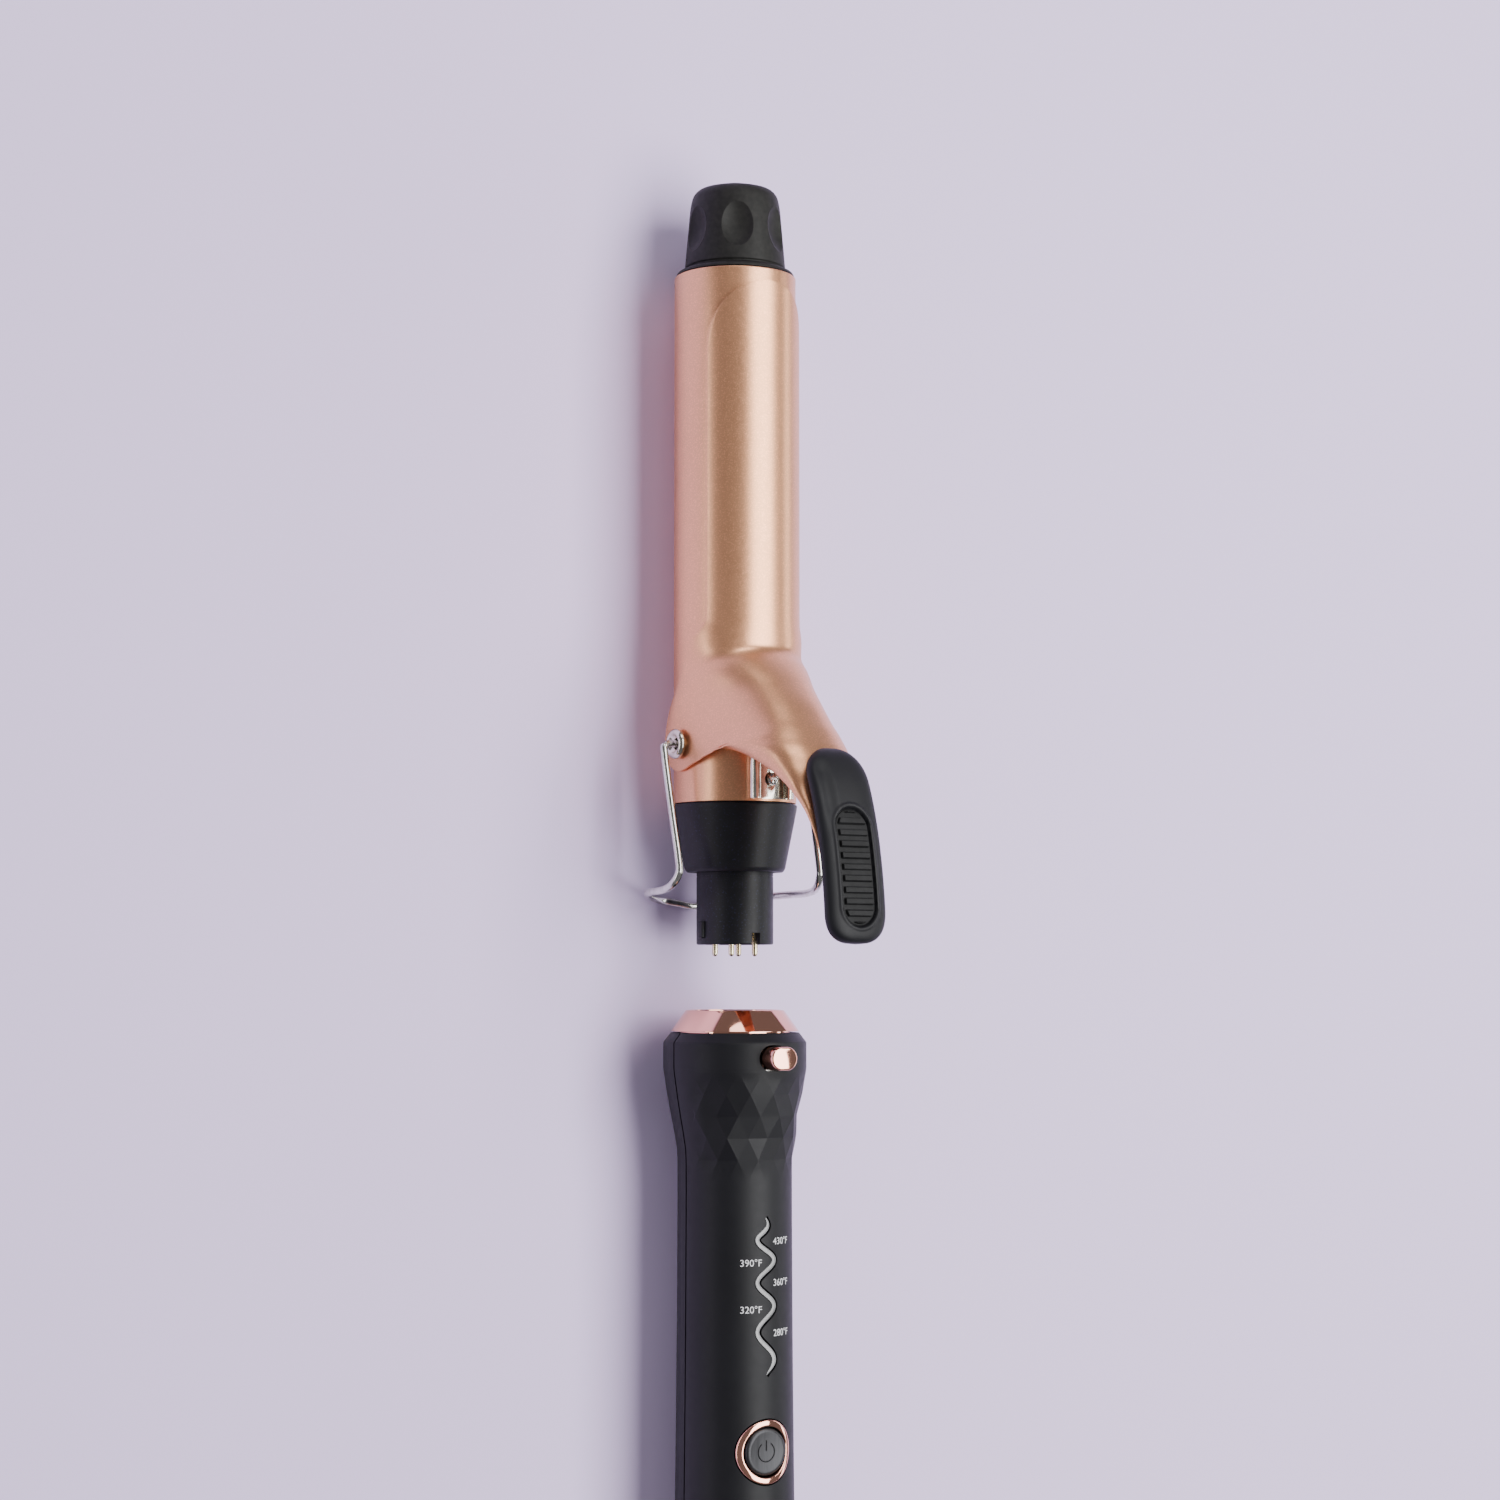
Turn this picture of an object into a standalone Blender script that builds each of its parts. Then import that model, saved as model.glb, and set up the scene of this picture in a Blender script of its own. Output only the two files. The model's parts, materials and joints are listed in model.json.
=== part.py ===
"""Curling iron with an interchangeable barrel, pulled off its handle.

Every size is in millimetres until it reaches Blender. +Y runs along the iron to its cool tip, +Z is up,
on the side of the lever and the buttons, and the iron lies on its wire stand at Z = 0.
Along the handle, places are measured back from the collar's top. Along the attachment, they are measured
forward from the seat of its base cone.
"""

import bmesh
import bpy
from math import cos, pi, radians, sin, sqrt

MM = 0.001

# Driving dimensions
BARREL_RADIUS = 15.85
BARREL_WALL = 0.8
BARREL_END = 155.3          # forward of the seat
CONE_HEIGHT = 17.3
CONE_TOP_RADIUS = 16.1
CONE_SEAT_RADIUS = 13.0
TIP_LENGTH = 23.4
PLUG_RADIUS = 9.9
PLUG_LENGTH = 18.6
PIN_CIRCLE_RADIUS = 5.2
PIN_RADIUS = 0.75
PIN_TURN = 43               # from +X to the first pin
PIN_REACH = 3.1             # past the plug's rim
PULL_OUT = 35.3             # from the collar's top to the cone's seat
HANDLE_LENGTH = 152.0
SHOULDER_RADIUS = 18.4
GRIP_RADIUS = 14.7
TAIL_RADIUS = 15.6
SHELL_WALL = 2.0
GLAND_LENGTH = 15.0         # behind the tail cap
PIVOT_AT = 32.5             # forward of the seat
SHEET = 0.6
STAND_REACH = 20.6          # from the axis down to the wire of the foot
STAND_WIDTH = 22.5          # from the axis out to the wire at each side
WIRE_RADIUS = 1.0

# Clearances
GAP = 0.35                  # between touching pieces
SLIDE_GAP = 0.4             # plug in socket
SEAM_GAP = 0.5              # between the two halves of the grip

# Fits that follow
SOCKET_RADIUS = PLUG_RADIUS + SLIDE_GAP
SOCKET_OUTSIDE = SOCKET_RADIUS + 1.2
BARREL_BORE = BARREL_RADIUS - BARREL_WALL
SPIGOT_RADIUS = BARREL_BORE - GAP
CLIP_RADIUS = BARREL_RADIUS + GAP + SHEET / 2
AXIS_HEIGHT = STAND_REACH + WIRE_RADIUS
TAIL_CAP_LENGTH = 9.0
FRONT = PULL_OUT + BARREL_END + TIP_LENGTH + 1.3
BACK = HANDLE_LENGTH + TAIL_CAP_LENGTH + GLAND_LENGTH
COLLAR_Y = (BACK - FRONT) / 2
SEAT_Y = COLLAR_Y + PULL_OUT

COLOURS = {
    "rose_gold": ((0.80, 0.52, 0.40), 0.30, 1.0),
    "nickel": ((0.76, 0.71, 0.63), 0.22, 1.0),
    "steel": ((0.55, 0.54, 0.52), 0.35, 1.0),
    "brass": ((0.72, 0.56, 0.30), 0.30, 1.0),
    "aluminium": ((0.78, 0.78, 0.79), 0.45, 1.0),
    "black_plastic": ((0.012, 0.012, 0.015), 0.45, 0.0),
    "tip_plastic": ((0.022, 0.021, 0.020), 0.55, 0.0),
    "grey_plastic": ((0.35, 0.35, 0.36), 0.5, 0.0),
    "board_green": ((0.02, 0.13, 0.06), 0.5, 0.0),
    "ceramic": ((0.85, 0.83, 0.78), 0.6, 0.0),
    "smoke_clear": ((0.32, 0.32, 0.34), 0.25, 0.0),
    "rubber": ((0.014, 0.014, 0.015), 0.75, 0.0),
}

collections = {}


# Scene helpers

def clear_scene():
    for thing in list(bpy.data.objects):
        bpy.data.objects.remove(thing)
    for name in ("curling_iron", "cutters"):
        made = bpy.data.collections.new(name)
        bpy.context.scene.collection.children.link(made)
        collections[name] = made


def frame_empty(name, y):
    empty = bpy.data.objects.new(name, None)
    empty.location = (0, y * MM, AXIS_HEIGHT * MM)
    collections["curling_iron"].objects.link(empty)
    return empty


def finish_of(name):
    made = bpy.data.materials.get(name)
    if made is None:
        colour, roughness, metallic = COLOURS[name]
        made = bpy.data.materials.new(name)
        made.use_nodes = True
        shader = made.node_tree.nodes["Principled BSDF"]
        shader.inputs["Base Color"].default_value = (*colour, 1)
        shader.inputs["Roughness"].default_value = roughness
        shader.inputs["Metallic"].default_value = metallic
    return made


def place(data, name, parent, at, finish=None, turn=(0, 0, 0)):
    """Make an object of the data. Without a finish it is a cutter."""
    thing = bpy.data.objects.new(name, data)
    thing.parent = parent
    thing.location = [value * MM for value in at]
    thing.rotation_euler = [radians(value) for value in turn]
    if finish is None:
        collections["cutters"].objects.link(thing)
        thing.hide_render = True
        thing.display_type = "WIRE"
    else:
        collections["curling_iron"].objects.link(thing)
        data.materials.append(finish_of(finish))
    return thing


def mesh_from(work, name):
    data = bpy.data.meshes.new(name)
    work.to_mesh(data)
    work.free()
    return data


def boolean(thing, other, operation="DIFFERENCE"):
    step = thing.modifiers.new(other.name, "BOOLEAN")
    step.object = other
    step.operation = operation
    step.solver = "EXACT"


def smooth(thing, angle=35):
    thing.data.shade_smooth()
    thing.data.set_sharp_from_angle(angle=radians(angle))


# Shape helpers: a turned piece has its axis along Y unless it is turned another way

ALONG_Y = (-90, 0, 0)
ALONG_X = (0, 90, 0)
UPRIGHT = (0, 0, 0)


def turned(name, parent, profile, at=(0, 0, 0), finish=None, turn=ALONG_Y, steps=32):
    """A ring turned from a closed profile of (radius, along) points, its outer side first, front to back."""
    work = bmesh.new()
    points = [work.verts.new((radius * MM, 0, along * MM)) for radius, along in profile]
    for start, end in zip(points, points[1:]):
        work.edges.new((start, end))
    if min(radius for radius, along in profile) > 0:
        work.edges.new((points[-1], points[0]))
    thing = place(mesh_from(work, name), name, parent, at, finish, turn)
    screw = thing.modifiers.new("turn", "SCREW")
    screw.steps = steps
    screw.render_steps = steps
    screw.use_merge_vertices = True
    screw.merge_threshold = 0.00001
    screw.use_smooth_shade = False
    return thing


def rod(name, parent, radius, start, end, at=(0, 0, 0), finish=None, turn=ALONG_Y, steps=24):
    profile = [(0, end), (radius, end), (radius, start), (0, start)]
    return turned(name, parent, profile, at, finish, turn, steps)


def pipe(name, parent, radius, bore, start, end, at=(0, 0, 0), finish=None, turn=ALONG_Y, steps=24):
    profile = [(radius, end), (radius, start), (bore, start), (bore, end)]
    return turned(name, parent, profile, at, finish, turn, steps)


def box(name, parent, size, at, finish=None):
    work = bmesh.new()
    bmesh.ops.create_cube(work, size=1)
    bmesh.ops.scale(work, vec=[value * MM for value in size], verts=work.verts)
    return place(mesh_from(work, name), name, parent, at, finish)


def round_edges(thing, width, segments=2, angle=40):
    bevel = thing.modifiers.new("rounding", "BEVEL")
    bevel.width = width * MM
    bevel.segments = segments
    bevel.limit_method = "ANGLE"
    bevel.angle_limit = radians(angle)


def outline(name, parent, loops, thickness, at, finish=None, turn=UPRIGHT):
    """A flat shape of one outer loop and any inner ones, extruded to its thickness, as a mesh."""
    curve = bpy.data.curves.new(name, "CURVE")
    curve.dimensions = "2D"
    curve.fill_mode = "BOTH"
    curve.extrude = thickness / 2 * MM
    for points in loops:
        spline = curve.splines.new("POLY")
        spline.points.add(len(points) - 1)
        for point, (across, along) in zip(spline.points, points):
            point.co = (across * MM, along * MM, 0, 1)
        spline.use_cyclic_u = True
    return as_mesh(curve, name, parent, at, finish, turn)


def as_mesh(curve, name, parent, at, finish, turn):
    source = bpy.data.objects.new(name + "_curve", curve)
    bpy.context.scene.collection.objects.link(source)
    bpy.context.view_layer.update()
    evaluated = source.evaluated_get(bpy.context.evaluated_depsgraph_get())
    data = bpy.data.meshes.new_from_object(evaluated)
    data.name = name
    data.materials.clear()
    bpy.data.objects.remove(source)
    work = bmesh.new()
    work.from_mesh(data)
    bmesh.ops.remove_doubles(work, verts=work.verts, dist=0.000005)
    work.to_mesh(data)
    work.free()
    return place(data, name, parent, at, finish, turn)


def wire(name, parent, points, radius, finish, at=(0, 0, 0)):
    curve = bpy.data.curves.new(name, "CURVE")
    curve.dimensions = "3D"
    curve.bevel_depth = radius * MM
    curve.bevel_resolution = 2
    curve.use_fill_caps = True
    spline = curve.splines.new("POLY")
    spline.points.add(len(points) - 1)
    for point, (x, y, z) in zip(spline.points, points):
        point.co = (x * MM, y * MM, z * MM, 1)
    return place(curve, name, parent, at, finish)


def arc(centre, radius, start, end, steps):
    """Points of an arc, in degrees."""
    turns = [radians(start + (end - start) * index / steps) for index in range(steps + 1)]
    return [(centre[0] + radius * cos(turn), centre[1] + radius * sin(turn)) for turn in turns]


def stadium(length, radius, steps=8):
    """A long round-ended outline, length between the ends' centres along the first direction."""
    return arc((length / 2, 0), radius, -90, 90, steps) + arc((-length / 2, 0), radius, 90, 270, steps)


def smooth_route(points, per_span):
    """Catmull-Rom points through a route."""
    ends = [points[0]] + points + [points[-1]]
    route = []
    for before, start, end, after in zip(ends, ends[1:], ends[2:], ends[3:]):
        for index in range(per_span):
            t = index / per_span
            route.append(tuple(
                0.5 * (2 * b + (c - a) * t + (2 * a - 5 * b + 4 * c - d) * t ** 2
                       + (3 * b - a - 3 * c + d) * t ** 3)
                for a, b, c, d in zip(before, start, end, after)))
    route.append(points[-1])
    return route


def rounded_bar(name, parent, stations, finish, levels=2):
    """A soft bar from a coarse cage: each station is (y, z, half width, half thickness)."""
    work = bmesh.new()
    rings = []
    for y, z, wide, thick in stations:
        corners = ((-wide, -thick), (wide, -thick), (wide, thick), (-wide, thick))
        rings.append([work.verts.new((x * MM, y * MM, (z + up) * MM)) for x, up in corners])
    for ring, after in zip(rings, rings[1:]):
        for index in range(4):
            other = (index + 1) % 4
            work.faces.new((ring[index], ring[other], after[other], after[index]))
    work.faces.new(rings[0][::-1])
    work.faces.new(rings[-1])
    bmesh.ops.recalc_face_normals(work, faces=work.faces)
    thing = place(mesh_from(work, name), name, parent, (0, 0, 0), finish)
    soften = thing.modifiers.new("soften", "SUBSURF")
    soften.levels = levels
    soften.render_levels = levels
    return thing


# Handle

SHELL_START = 5.8
SHELL_OUTLINE = ((16.5, SHELL_START), (SHOULDER_RADIUS, 8.2), (SHOULDER_RADIUS, 15.0), (17.4, 21.2),
                 (16.5, 26.3), (15.3, 32.5), (GRIP_RADIUS, 38.7), (GRIP_RADIUS, 62.0),
                 (GRIP_RADIUS + 0.15, 90.0), (GRIP_RADIUS + 0.5, 126.0), (TAIL_RADIUS, HANDLE_LENGTH))
BUTTON_BACK = 12.0
BUTTON_RADIUS = 2.95
BUTTON_FLAT = 1.8
POWER_BACK = 110.0
RING_RADIUS = 8.0
CAP_RADIUS = 5.95
STRIP_START = 52.0
STRIP_LENGTH = 39.0
STRIP_SWING = 2.5
STRIP_WIDTH = 1.3
SCREWS_BACK = (44.0, 142.0)
BOARD_TOP = 3.6
LED_BACKS = (58.0, 65.0, 72.0, 79.5, 87.0)
LATCH_BACK = 17.2
LATCH_TOP = 15.4
SPRING_SEAT = SOCKET_OUTSIDE + GAP
KEY_RADIUS = 10.7
KEY_WIDTH = 2.0


def collar_ring(handle):
    profile = [(12.6, 0), (16.5, -5.4), (14.1, -5.4), (14.1, -9), (11.9, -9), (11.9, 0)]
    smooth(turned("collar_ring", handle, profile, finish="rose_gold", steps=40))


FLANGE_RADIUS = 14.6        # the socket's foot inside the grip
BLOCK_RADIUS = 14.0
SLEEVE_BORE = PIN_RADIUS + 0.2
SLEEVE_RADIUS = SLEEVE_BORE + 0.4


def socket_housing(handle):
    profile = [(SOCKET_OUTSIDE, -0.6), (SOCKET_OUTSIDE, -20.3), (FLANGE_RADIUS, -20.3), (FLANGE_RADIUS, -22.3),
               (SOCKET_RADIUS, -22.3), (SOCKET_RADIUS, -0.6)]
    housing = turned("socket_housing", handle, profile, finish="black_plastic", steps=28)
    key_depth = 2 * (KEY_RADIUS + GAP)
    boolean(housing, box("cut_keyways", handle, (key_depth, 21.9, KEY_WIDTH + 0.8), (0, -10.9, 0)))
    boolean(housing, box("cut_latch_window", handle, (3.2, 3.2, 6), (0, -LATCH_BACK, -10.8)))


def contact_block(handle):
    profile = [(0, -19.2), (PLUG_RADIUS, -19.2), (PLUG_RADIUS, -22.7), (BLOCK_RADIUS, -22.7),
               (BLOCK_RADIUS, -26), (0, -26)]
    block = turned("contact_block", handle, profile, finish="black_plastic", steps=24)
    for index, (x, z) in enumerate(pin_places()):
        name = f"cut_contact_hole_{index + 1}"
        boolean(block, rod(name, handle, SLEEVE_RADIUS + GAP, -30, -15, (x, 0, z), steps=12))
        name = f"contact_sleeve_{index + 1}"
        cup = [(0, -26.5), (SLEEVE_BORE, -26.5), (SLEEVE_BORE, -19.6), (SLEEVE_RADIUS, -19.6),
               (SLEEVE_RADIUS, -28.0), (0, -28.0)]
        turned(name, handle, cup, (x, 0, z), "brass", steps=12)


def pin_places():
    """The four contacts stand in a square, turned to lie off the keyways."""
    turns = [radians(PIN_TURN + 90 * index) for index in range(4)]
    return [(PIN_CIRCLE_RADIUS * cos(turn), PIN_CIRCLE_RADIUS * sin(turn)) for turn in turns]


def half_shell(name, handle, side):
    """Half of the grip, above or below the seam that runs along both of its sides."""
    work = bmesh.new()
    points = [work.verts.new((radius * MM, 0, -back * MM)) for radius, back in SHELL_OUTLINE]
    for start, end in zip(points, points[1:]):
        work.edges.new((start, end))
    turn = (-90, 0, 0) if side < 0 else (-90, 180, 0)
    shell = place(mesh_from(work, name), name, handle, (0, 0, side * SEAM_GAP / 2), "black_plastic", turn)
    screw = shell.modifiers.new("turn", "SCREW")
    screw.angle = pi
    screw.steps = 16
    screw.render_steps = 16
    screw.use_smooth_shade = False
    screw.use_merge_vertices = False
    wall = shell.modifiers.new("wall", "SOLIDIFY")
    wall.thickness = SHELL_WALL * MM
    wall.offset = -1
    return shell


def wave(share):
    """How far the light strip swings aside at a share of its length."""
    turns = 8.2 * share - 1.6 * share ** 2 - 0.62
    return STRIP_SWING * min(1, share / 0.12) * -sin(pi * turns)


def strip_outline(extra):
    steps = 30
    sides = ([], [])
    for index in range(steps + 1):
        share = index / steps
        middle = wave(share)
        back = -(STRIP_START + STRIP_LENGTH * share)
        slope = (wave(share + 0.005) - wave(share - 0.005)) / (0.01 * STRIP_LENGTH)
        length = sqrt(1 + slope ** 2)
        half = STRIP_WIDTH / 2 * min(1, 0.25 + share / 0.1, 0.25 + (1 - share) / 0.1) + extra
        for side, sign in zip(sides, (-1, 1)):
            side.append((middle + sign * half / length, back + sign * half * slope / length))
    return sides[0] + sides[1][::-1]


def handle_shells(handle):
    front = half_shell("handle_front_shell", handle, 1)
    rear = half_shell("handle_rear_shell", handle, -1)
    for index, back in enumerate(SCREWS_BACK):
        post = rod(f"cut_post_{index + 1}", handle, 3.0, 0.6, 13.4, (0, -back, 0), turn=UPRIGHT, steps=12)
        boolean(front, post, "UNION")
        hole = rod(f"cut_pilot_{index + 1}", handle, 1.5, -20, 11, (0, -back, 0), turn=UPRIGHT, steps=12)
        boolean(front, hole)
        boolean(rear, hole)
        recess = rod(f"cut_recess_{index + 1}", handle, 2.9, -20, -13.4, (0, -back, 0), turn=UPRIGHT,
                     steps=16)
        boolean(rear, recess)
        profile = [(0, 10.5), (1.15, 10.5), (1.15, -13.8), (2.5, -13.8), (2.5, -14.4), (0, -14.4)]
        turned(f"handle_screw_{index + 1}", handle, profile, (0, -back, 0), "steel", UPRIGHT, 12)
    boolean(front, outline("cut_strip", handle, [strip_outline(GAP)], 12, (0, 0, 15)))
    boolean(front, rod("cut_power", handle, RING_RADIUS + GAP, 8, 20, (0, -POWER_BACK, 0), turn=UPRIGHT,
                       steps=32))
    loop = stadium(BUTTON_FLAT, BUTTON_RADIUS + GAP)
    boolean(front, outline("cut_button", handle, [loop], 12, (0, -BUTTON_BACK, 18)))


def light_strip(handle):
    top = GRIP_RADIUS - 0.1
    bottom = 8.5
    outline("light_pipe", handle, [strip_outline(0)], top - bottom, (0, 0, (top + bottom) / 2),
            "smoke_clear")
    for index, back in enumerate(LED_BACKS):
        box(f"led_{index + 1}", handle, (3, 3, 2.2), (0, -back, BOARD_TOP + GAP + 1.1), "ceramic")


def power_button(handle):
    at = (0, -POWER_BACK, 0)
    ring = pipe("power_button_ring", handle, RING_RADIUS, CAP_RADIUS + GAP, 11, 19, at, "rose_gold", UPRIGHT, 32)
    boolean(ring, rod("cut_ring_crown", handle, GRIP_RADIUS + 0.75, -10, 10, at, steps=64), "INTERSECT")
    smooth(ring)
    cap = [(0, 15.1), (4.2, 15.0), (CAP_RADIUS - 0.4, 14.6), (CAP_RADIUS, 14.2), (CAP_RADIUS, 10.8), (0, 10.8)]
    smooth(turned("power_button_cap", handle, cap, at, "grey_plastic", UPRIGHT, 24))
    switch = [(0, 9.7), (1.7, 9.7), (1.7, 7.4), (3.6, 7.4), (3.6, BOARD_TOP + GAP), (0, BOARD_TOP + GAP)]
    turned("tact_switch", handle, switch, at, "grey_plastic", UPRIGHT, 16)


def circuit_board(handle):
    box("circuit_board", handle, (21, 82, 1.6), (0, -90, BOARD_TOP - 0.8), "board_green")


def release_button(handle):
    """The button stands on a frame around the socket, whose finger reaches up into the plug's lower notch."""
    top = 23.2
    bottom = LATCH_TOP + GAP
    button = outline("release_button", handle, [stadium(BUTTON_FLAT, BUTTON_RADIUS)], top - bottom,
                     (0, -BUTTON_BACK, (top + bottom) / 2), "rose_gold")
    weld = button.modifiers.new("weld", "WELD")
    weld.merge_threshold = 0.00001
    round_edges(button, 0.5)
    smooth(button)
    inner = SOCKET_OUTSIDE + GAP
    outer = LATCH_TOP - 2
    rise = 2.0
    inside = arc((0, rise), inner, 0, 180, 10) + arc((0, 0), inner, 180, 360, 10)
    outside = arc((0, rise), outer, 0, 180, 10) + arc((0, 0), outer, 180, 360, 10)
    latch = outline("release_latch", handle, [outside, inside], 1.6, (0, -LATCH_BACK, 0), "steel", (90, 0, 0))
    finger = box("cut_latch_finger", handle, (1.8, 1.5, 3.9), (0, -LATCH_BACK, -11.1))
    boolean(latch, finger, "UNION")
    tongue = box("cut_latch_tongue", handle, (6.4, 8.4, 0.8), (0, -LATCH_BACK + 3.55, LATCH_TOP - 0.43))
    boolean(latch, tongue, "UNION")
    spring_coil(handle)


def spring_coil(handle):
    turns = 2.5
    height = LATCH_TOP - 0.85 - GAP - SPRING_SEAT
    radius = 0.2
    points = []
    for index in range(21):
        share = index / 20
        angle = 2 * pi * turns * share
        lift = SPRING_SEAT + radius + (height - 2 * radius) * share
        points.append((2.0 * cos(angle), 2.0 * sin(angle), lift))
    wire("latch_spring", handle, points, radius, "steel", (0, -BUTTON_BACK, 0))


def tail(handle):
    end = -HANDLE_LENGTH
    profile = [(TAIL_RADIUS, end - GAP), (TAIL_RADIUS, end - 3.5), (12.6, end - TAIL_CAP_LENGTH),
               (5.4, end - TAIL_CAP_LENGTH), (5.4, end - 6.5), (13.0, end - 5.0), (13.0, end - GAP)]
    smooth(turned("tail_cap", handle, profile, finish="black_plastic", steps=28))
    gland = [(7.6, end - 2.6), (7.6, end - 4.8), (4.9, end - 4.8), (4.9, end - TAIL_CAP_LENGTH - 0.5),
             (6.0, end - TAIL_CAP_LENGTH - 0.5), (5.6, end - TAIL_CAP_LENGTH - 4),
             (3.9, end - TAIL_CAP_LENGTH - GLAND_LENGTH), (2.6, end - TAIL_CAP_LENGTH - GLAND_LENGTH),
             (2.6, end - 2.6)]
    smooth(turned("cord_gland", handle, gland, finish="black_plastic", steps=16))
    pipe("swivel_slip_ring", handle, 6.2, 3.0, end - 2.2, end + 2.5, finish="brass", steps=16)
    box("swivel_brush_block", handle, (8, 5, 3.2), (0, end + 0.4, 8.4), "grey_plastic")


# Attachment

DIMPLES = 6


def base_cone(attachment):
    profile = [(SPIGOT_RADIUS, 21), (SPIGOT_RADIUS, CONE_HEIGHT), (CONE_TOP_RADIUS, CONE_HEIGHT),
               (CONE_TOP_RADIUS, CONE_HEIGHT - 1), (CONE_SEAT_RADIUS, 0.7), (CONE_SEAT_RADIUS - 0.5, 0),
               (PLUG_RADIUS + GAP, 0), (PLUG_RADIUS + GAP, 10.2), (13.2, 14), (13.2, 21)]
    smooth(turned("base_cone", attachment, profile, finish="black_plastic", steps=40))


def plug_body(attachment):
    profile = [(12.8, 17), (12.8, 14.2), (PLUG_RADIUS, 10.4), (PLUG_RADIUS, -PLUG_LENGTH + 0.4),
               (PLUG_RADIUS - 0.4, -PLUG_LENGTH), (8.3, -PLUG_LENGTH), (8.3, 17)]
    plug = turned("plug_body", attachment, profile, finish="black_plastic", steps=28)
    for name, side in (("cut_key_left", -1), ("cut_key_right", 1)):
        key = box(name, attachment, (2, 4.4, KEY_WIDTH), (side * (KEY_RADIUS - 1), -14.8, 0))
        boolean(plug, key, "UNION")
    notch = box("cut_notches", attachment, (2.6, 6, 30), (0, -PLUG_LENGTH, 0))
    boolean(plug, notch)
    base = rod("pin_base", attachment, 8.3 - GAP, -15, -10, finish="black_plastic", steps=24)
    for index, (x, z) in enumerate(pin_places()):
        boolean(base, rod(f"cut_pin_hole_{index + 1}", attachment, PIN_RADIUS + GAP, -20, -5, (x, 0, z), steps=12))
        reach = -PLUG_LENGTH - PIN_REACH
        pin = [(0, -6), (PIN_RADIUS, -6), (PIN_RADIUS, reach + 0.5), (PIN_RADIUS * 0.6, reach + 0.1), (0, reach)]
        smooth(turned(f"contact_pin_{index + 1}", attachment, pin, (x, 0, z), "brass", steps=12))
        top = (x * 0.5, HEATER_START - 1.5, z * 0.35)
        route = smooth_route([(x, -5.6, z), (x * 1.2, 12, z * 1.2), (x, 35, z), top], 2)
        wire(f"heater_lead_{index + 1}", attachment, route, 0.5, "rubber")


HEATER_START = 62.0
HEATER_END = 146.0


def barrel(attachment):
    tube = pipe("barrel_tube", attachment, BARREL_RADIUS, BARREL_BORE, CONE_HEIGHT + GAP, BARREL_END,
                finish="rose_gold", steps=48)
    boolean(tube, rod("cut_rivet_holes", attachment, 2.0 + GAP, -20, 20, (0, PIVOT_AT, 0), turn=ALONG_X, steps=16))
    boolean(tube, rod("cut_screw_hole", attachment, 1.4, 10, 20, (0, 23.2, 0), turn=UPRIGHT, steps=12))
    for name, side in (("pivot_rivet_left", -1), ("pivot_rivet_right", 1)):
        profile = [(2.9, 19.1), (3.9, 18.5), (3.9, 17.6), (2.0, 17.4), (2.0, 14.6), (2.9, 14.4), (2.9, 13.6),
                   (1.35, 13.6), (1.35, 18.3)]
        turn = (0, side * 90, 0)
        smooth(turned(name, attachment, profile, (0, PIVOT_AT, 0), "nickel", turn, 16))
    for name, side in (("heat_spreader_upper", 1), ("heat_spreader_lower", -1)):
        half = arc((0, 0), BARREL_BORE - GAP, 10.5, 169.5, 10)
        length = HEATER_END - HEATER_START
        turn = (90, 0, 0) if side > 0 else (90, 180, 0)
        outline(name, attachment, [half], length, (0, (HEATER_START + HEATER_END) / 2, 0), "aluminium", turn)
    box("heater_plate", attachment, (13, 82, 3.6), (0, (HEATER_START + HEATER_END) / 2, 0), "ceramic")
    rod("thermistor", attachment, 1.0, 54, 60, (0, 0, 4), "ceramic", steps=10)


def cool_tip(attachment):
    start = BARREL_END + GAP
    end = BARREL_END + TIP_LENGTH
    profile = [(0, end - 2.2), (6.3, end - 2.2), (6.3, end), (9.2, end), (10.6, end - 0.5), (11.7, end - 3.2),
               (13.1, start + 2.4), (12.5, start + 1.9), (13.4, start + 1.5), (15.3, start + 0.9),
               (15.5, start), (SPIGOT_RADIUS, start), (SPIGOT_RADIUS, start - 6), (12.2, start - 6),
               (11.2, start + 2), (9.0, end - 4.6), (0, end - 4.6)]
    tip = turned("cool_tip", attachment, profile, finish="tip_plastic", steps=36)
    for index in range(DIMPLES):
        turn = radians(30 + 360 / DIMPLES * index)
        work = bmesh.new()
        bmesh.ops.create_uvsphere(work, u_segments=12, v_segments=6, radius=MM)
        bmesh.ops.scale(work, vec=(3.6, 6.6, 3.6), verts=work.verts)
        dimple = place(mesh_from(work, f"cut_dimple_{index + 1}"), f"cut_dimple_{index + 1}", attachment,
                       (15.2 * sin(turn), end - 10.2, 15.2 * cos(turn)))
        boolean(tip, dimple)
    rod("tip_end_disc", attachment, 5.9, end - 1.8, end + 1.3, finish="grey_plastic", steps=24)


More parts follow.
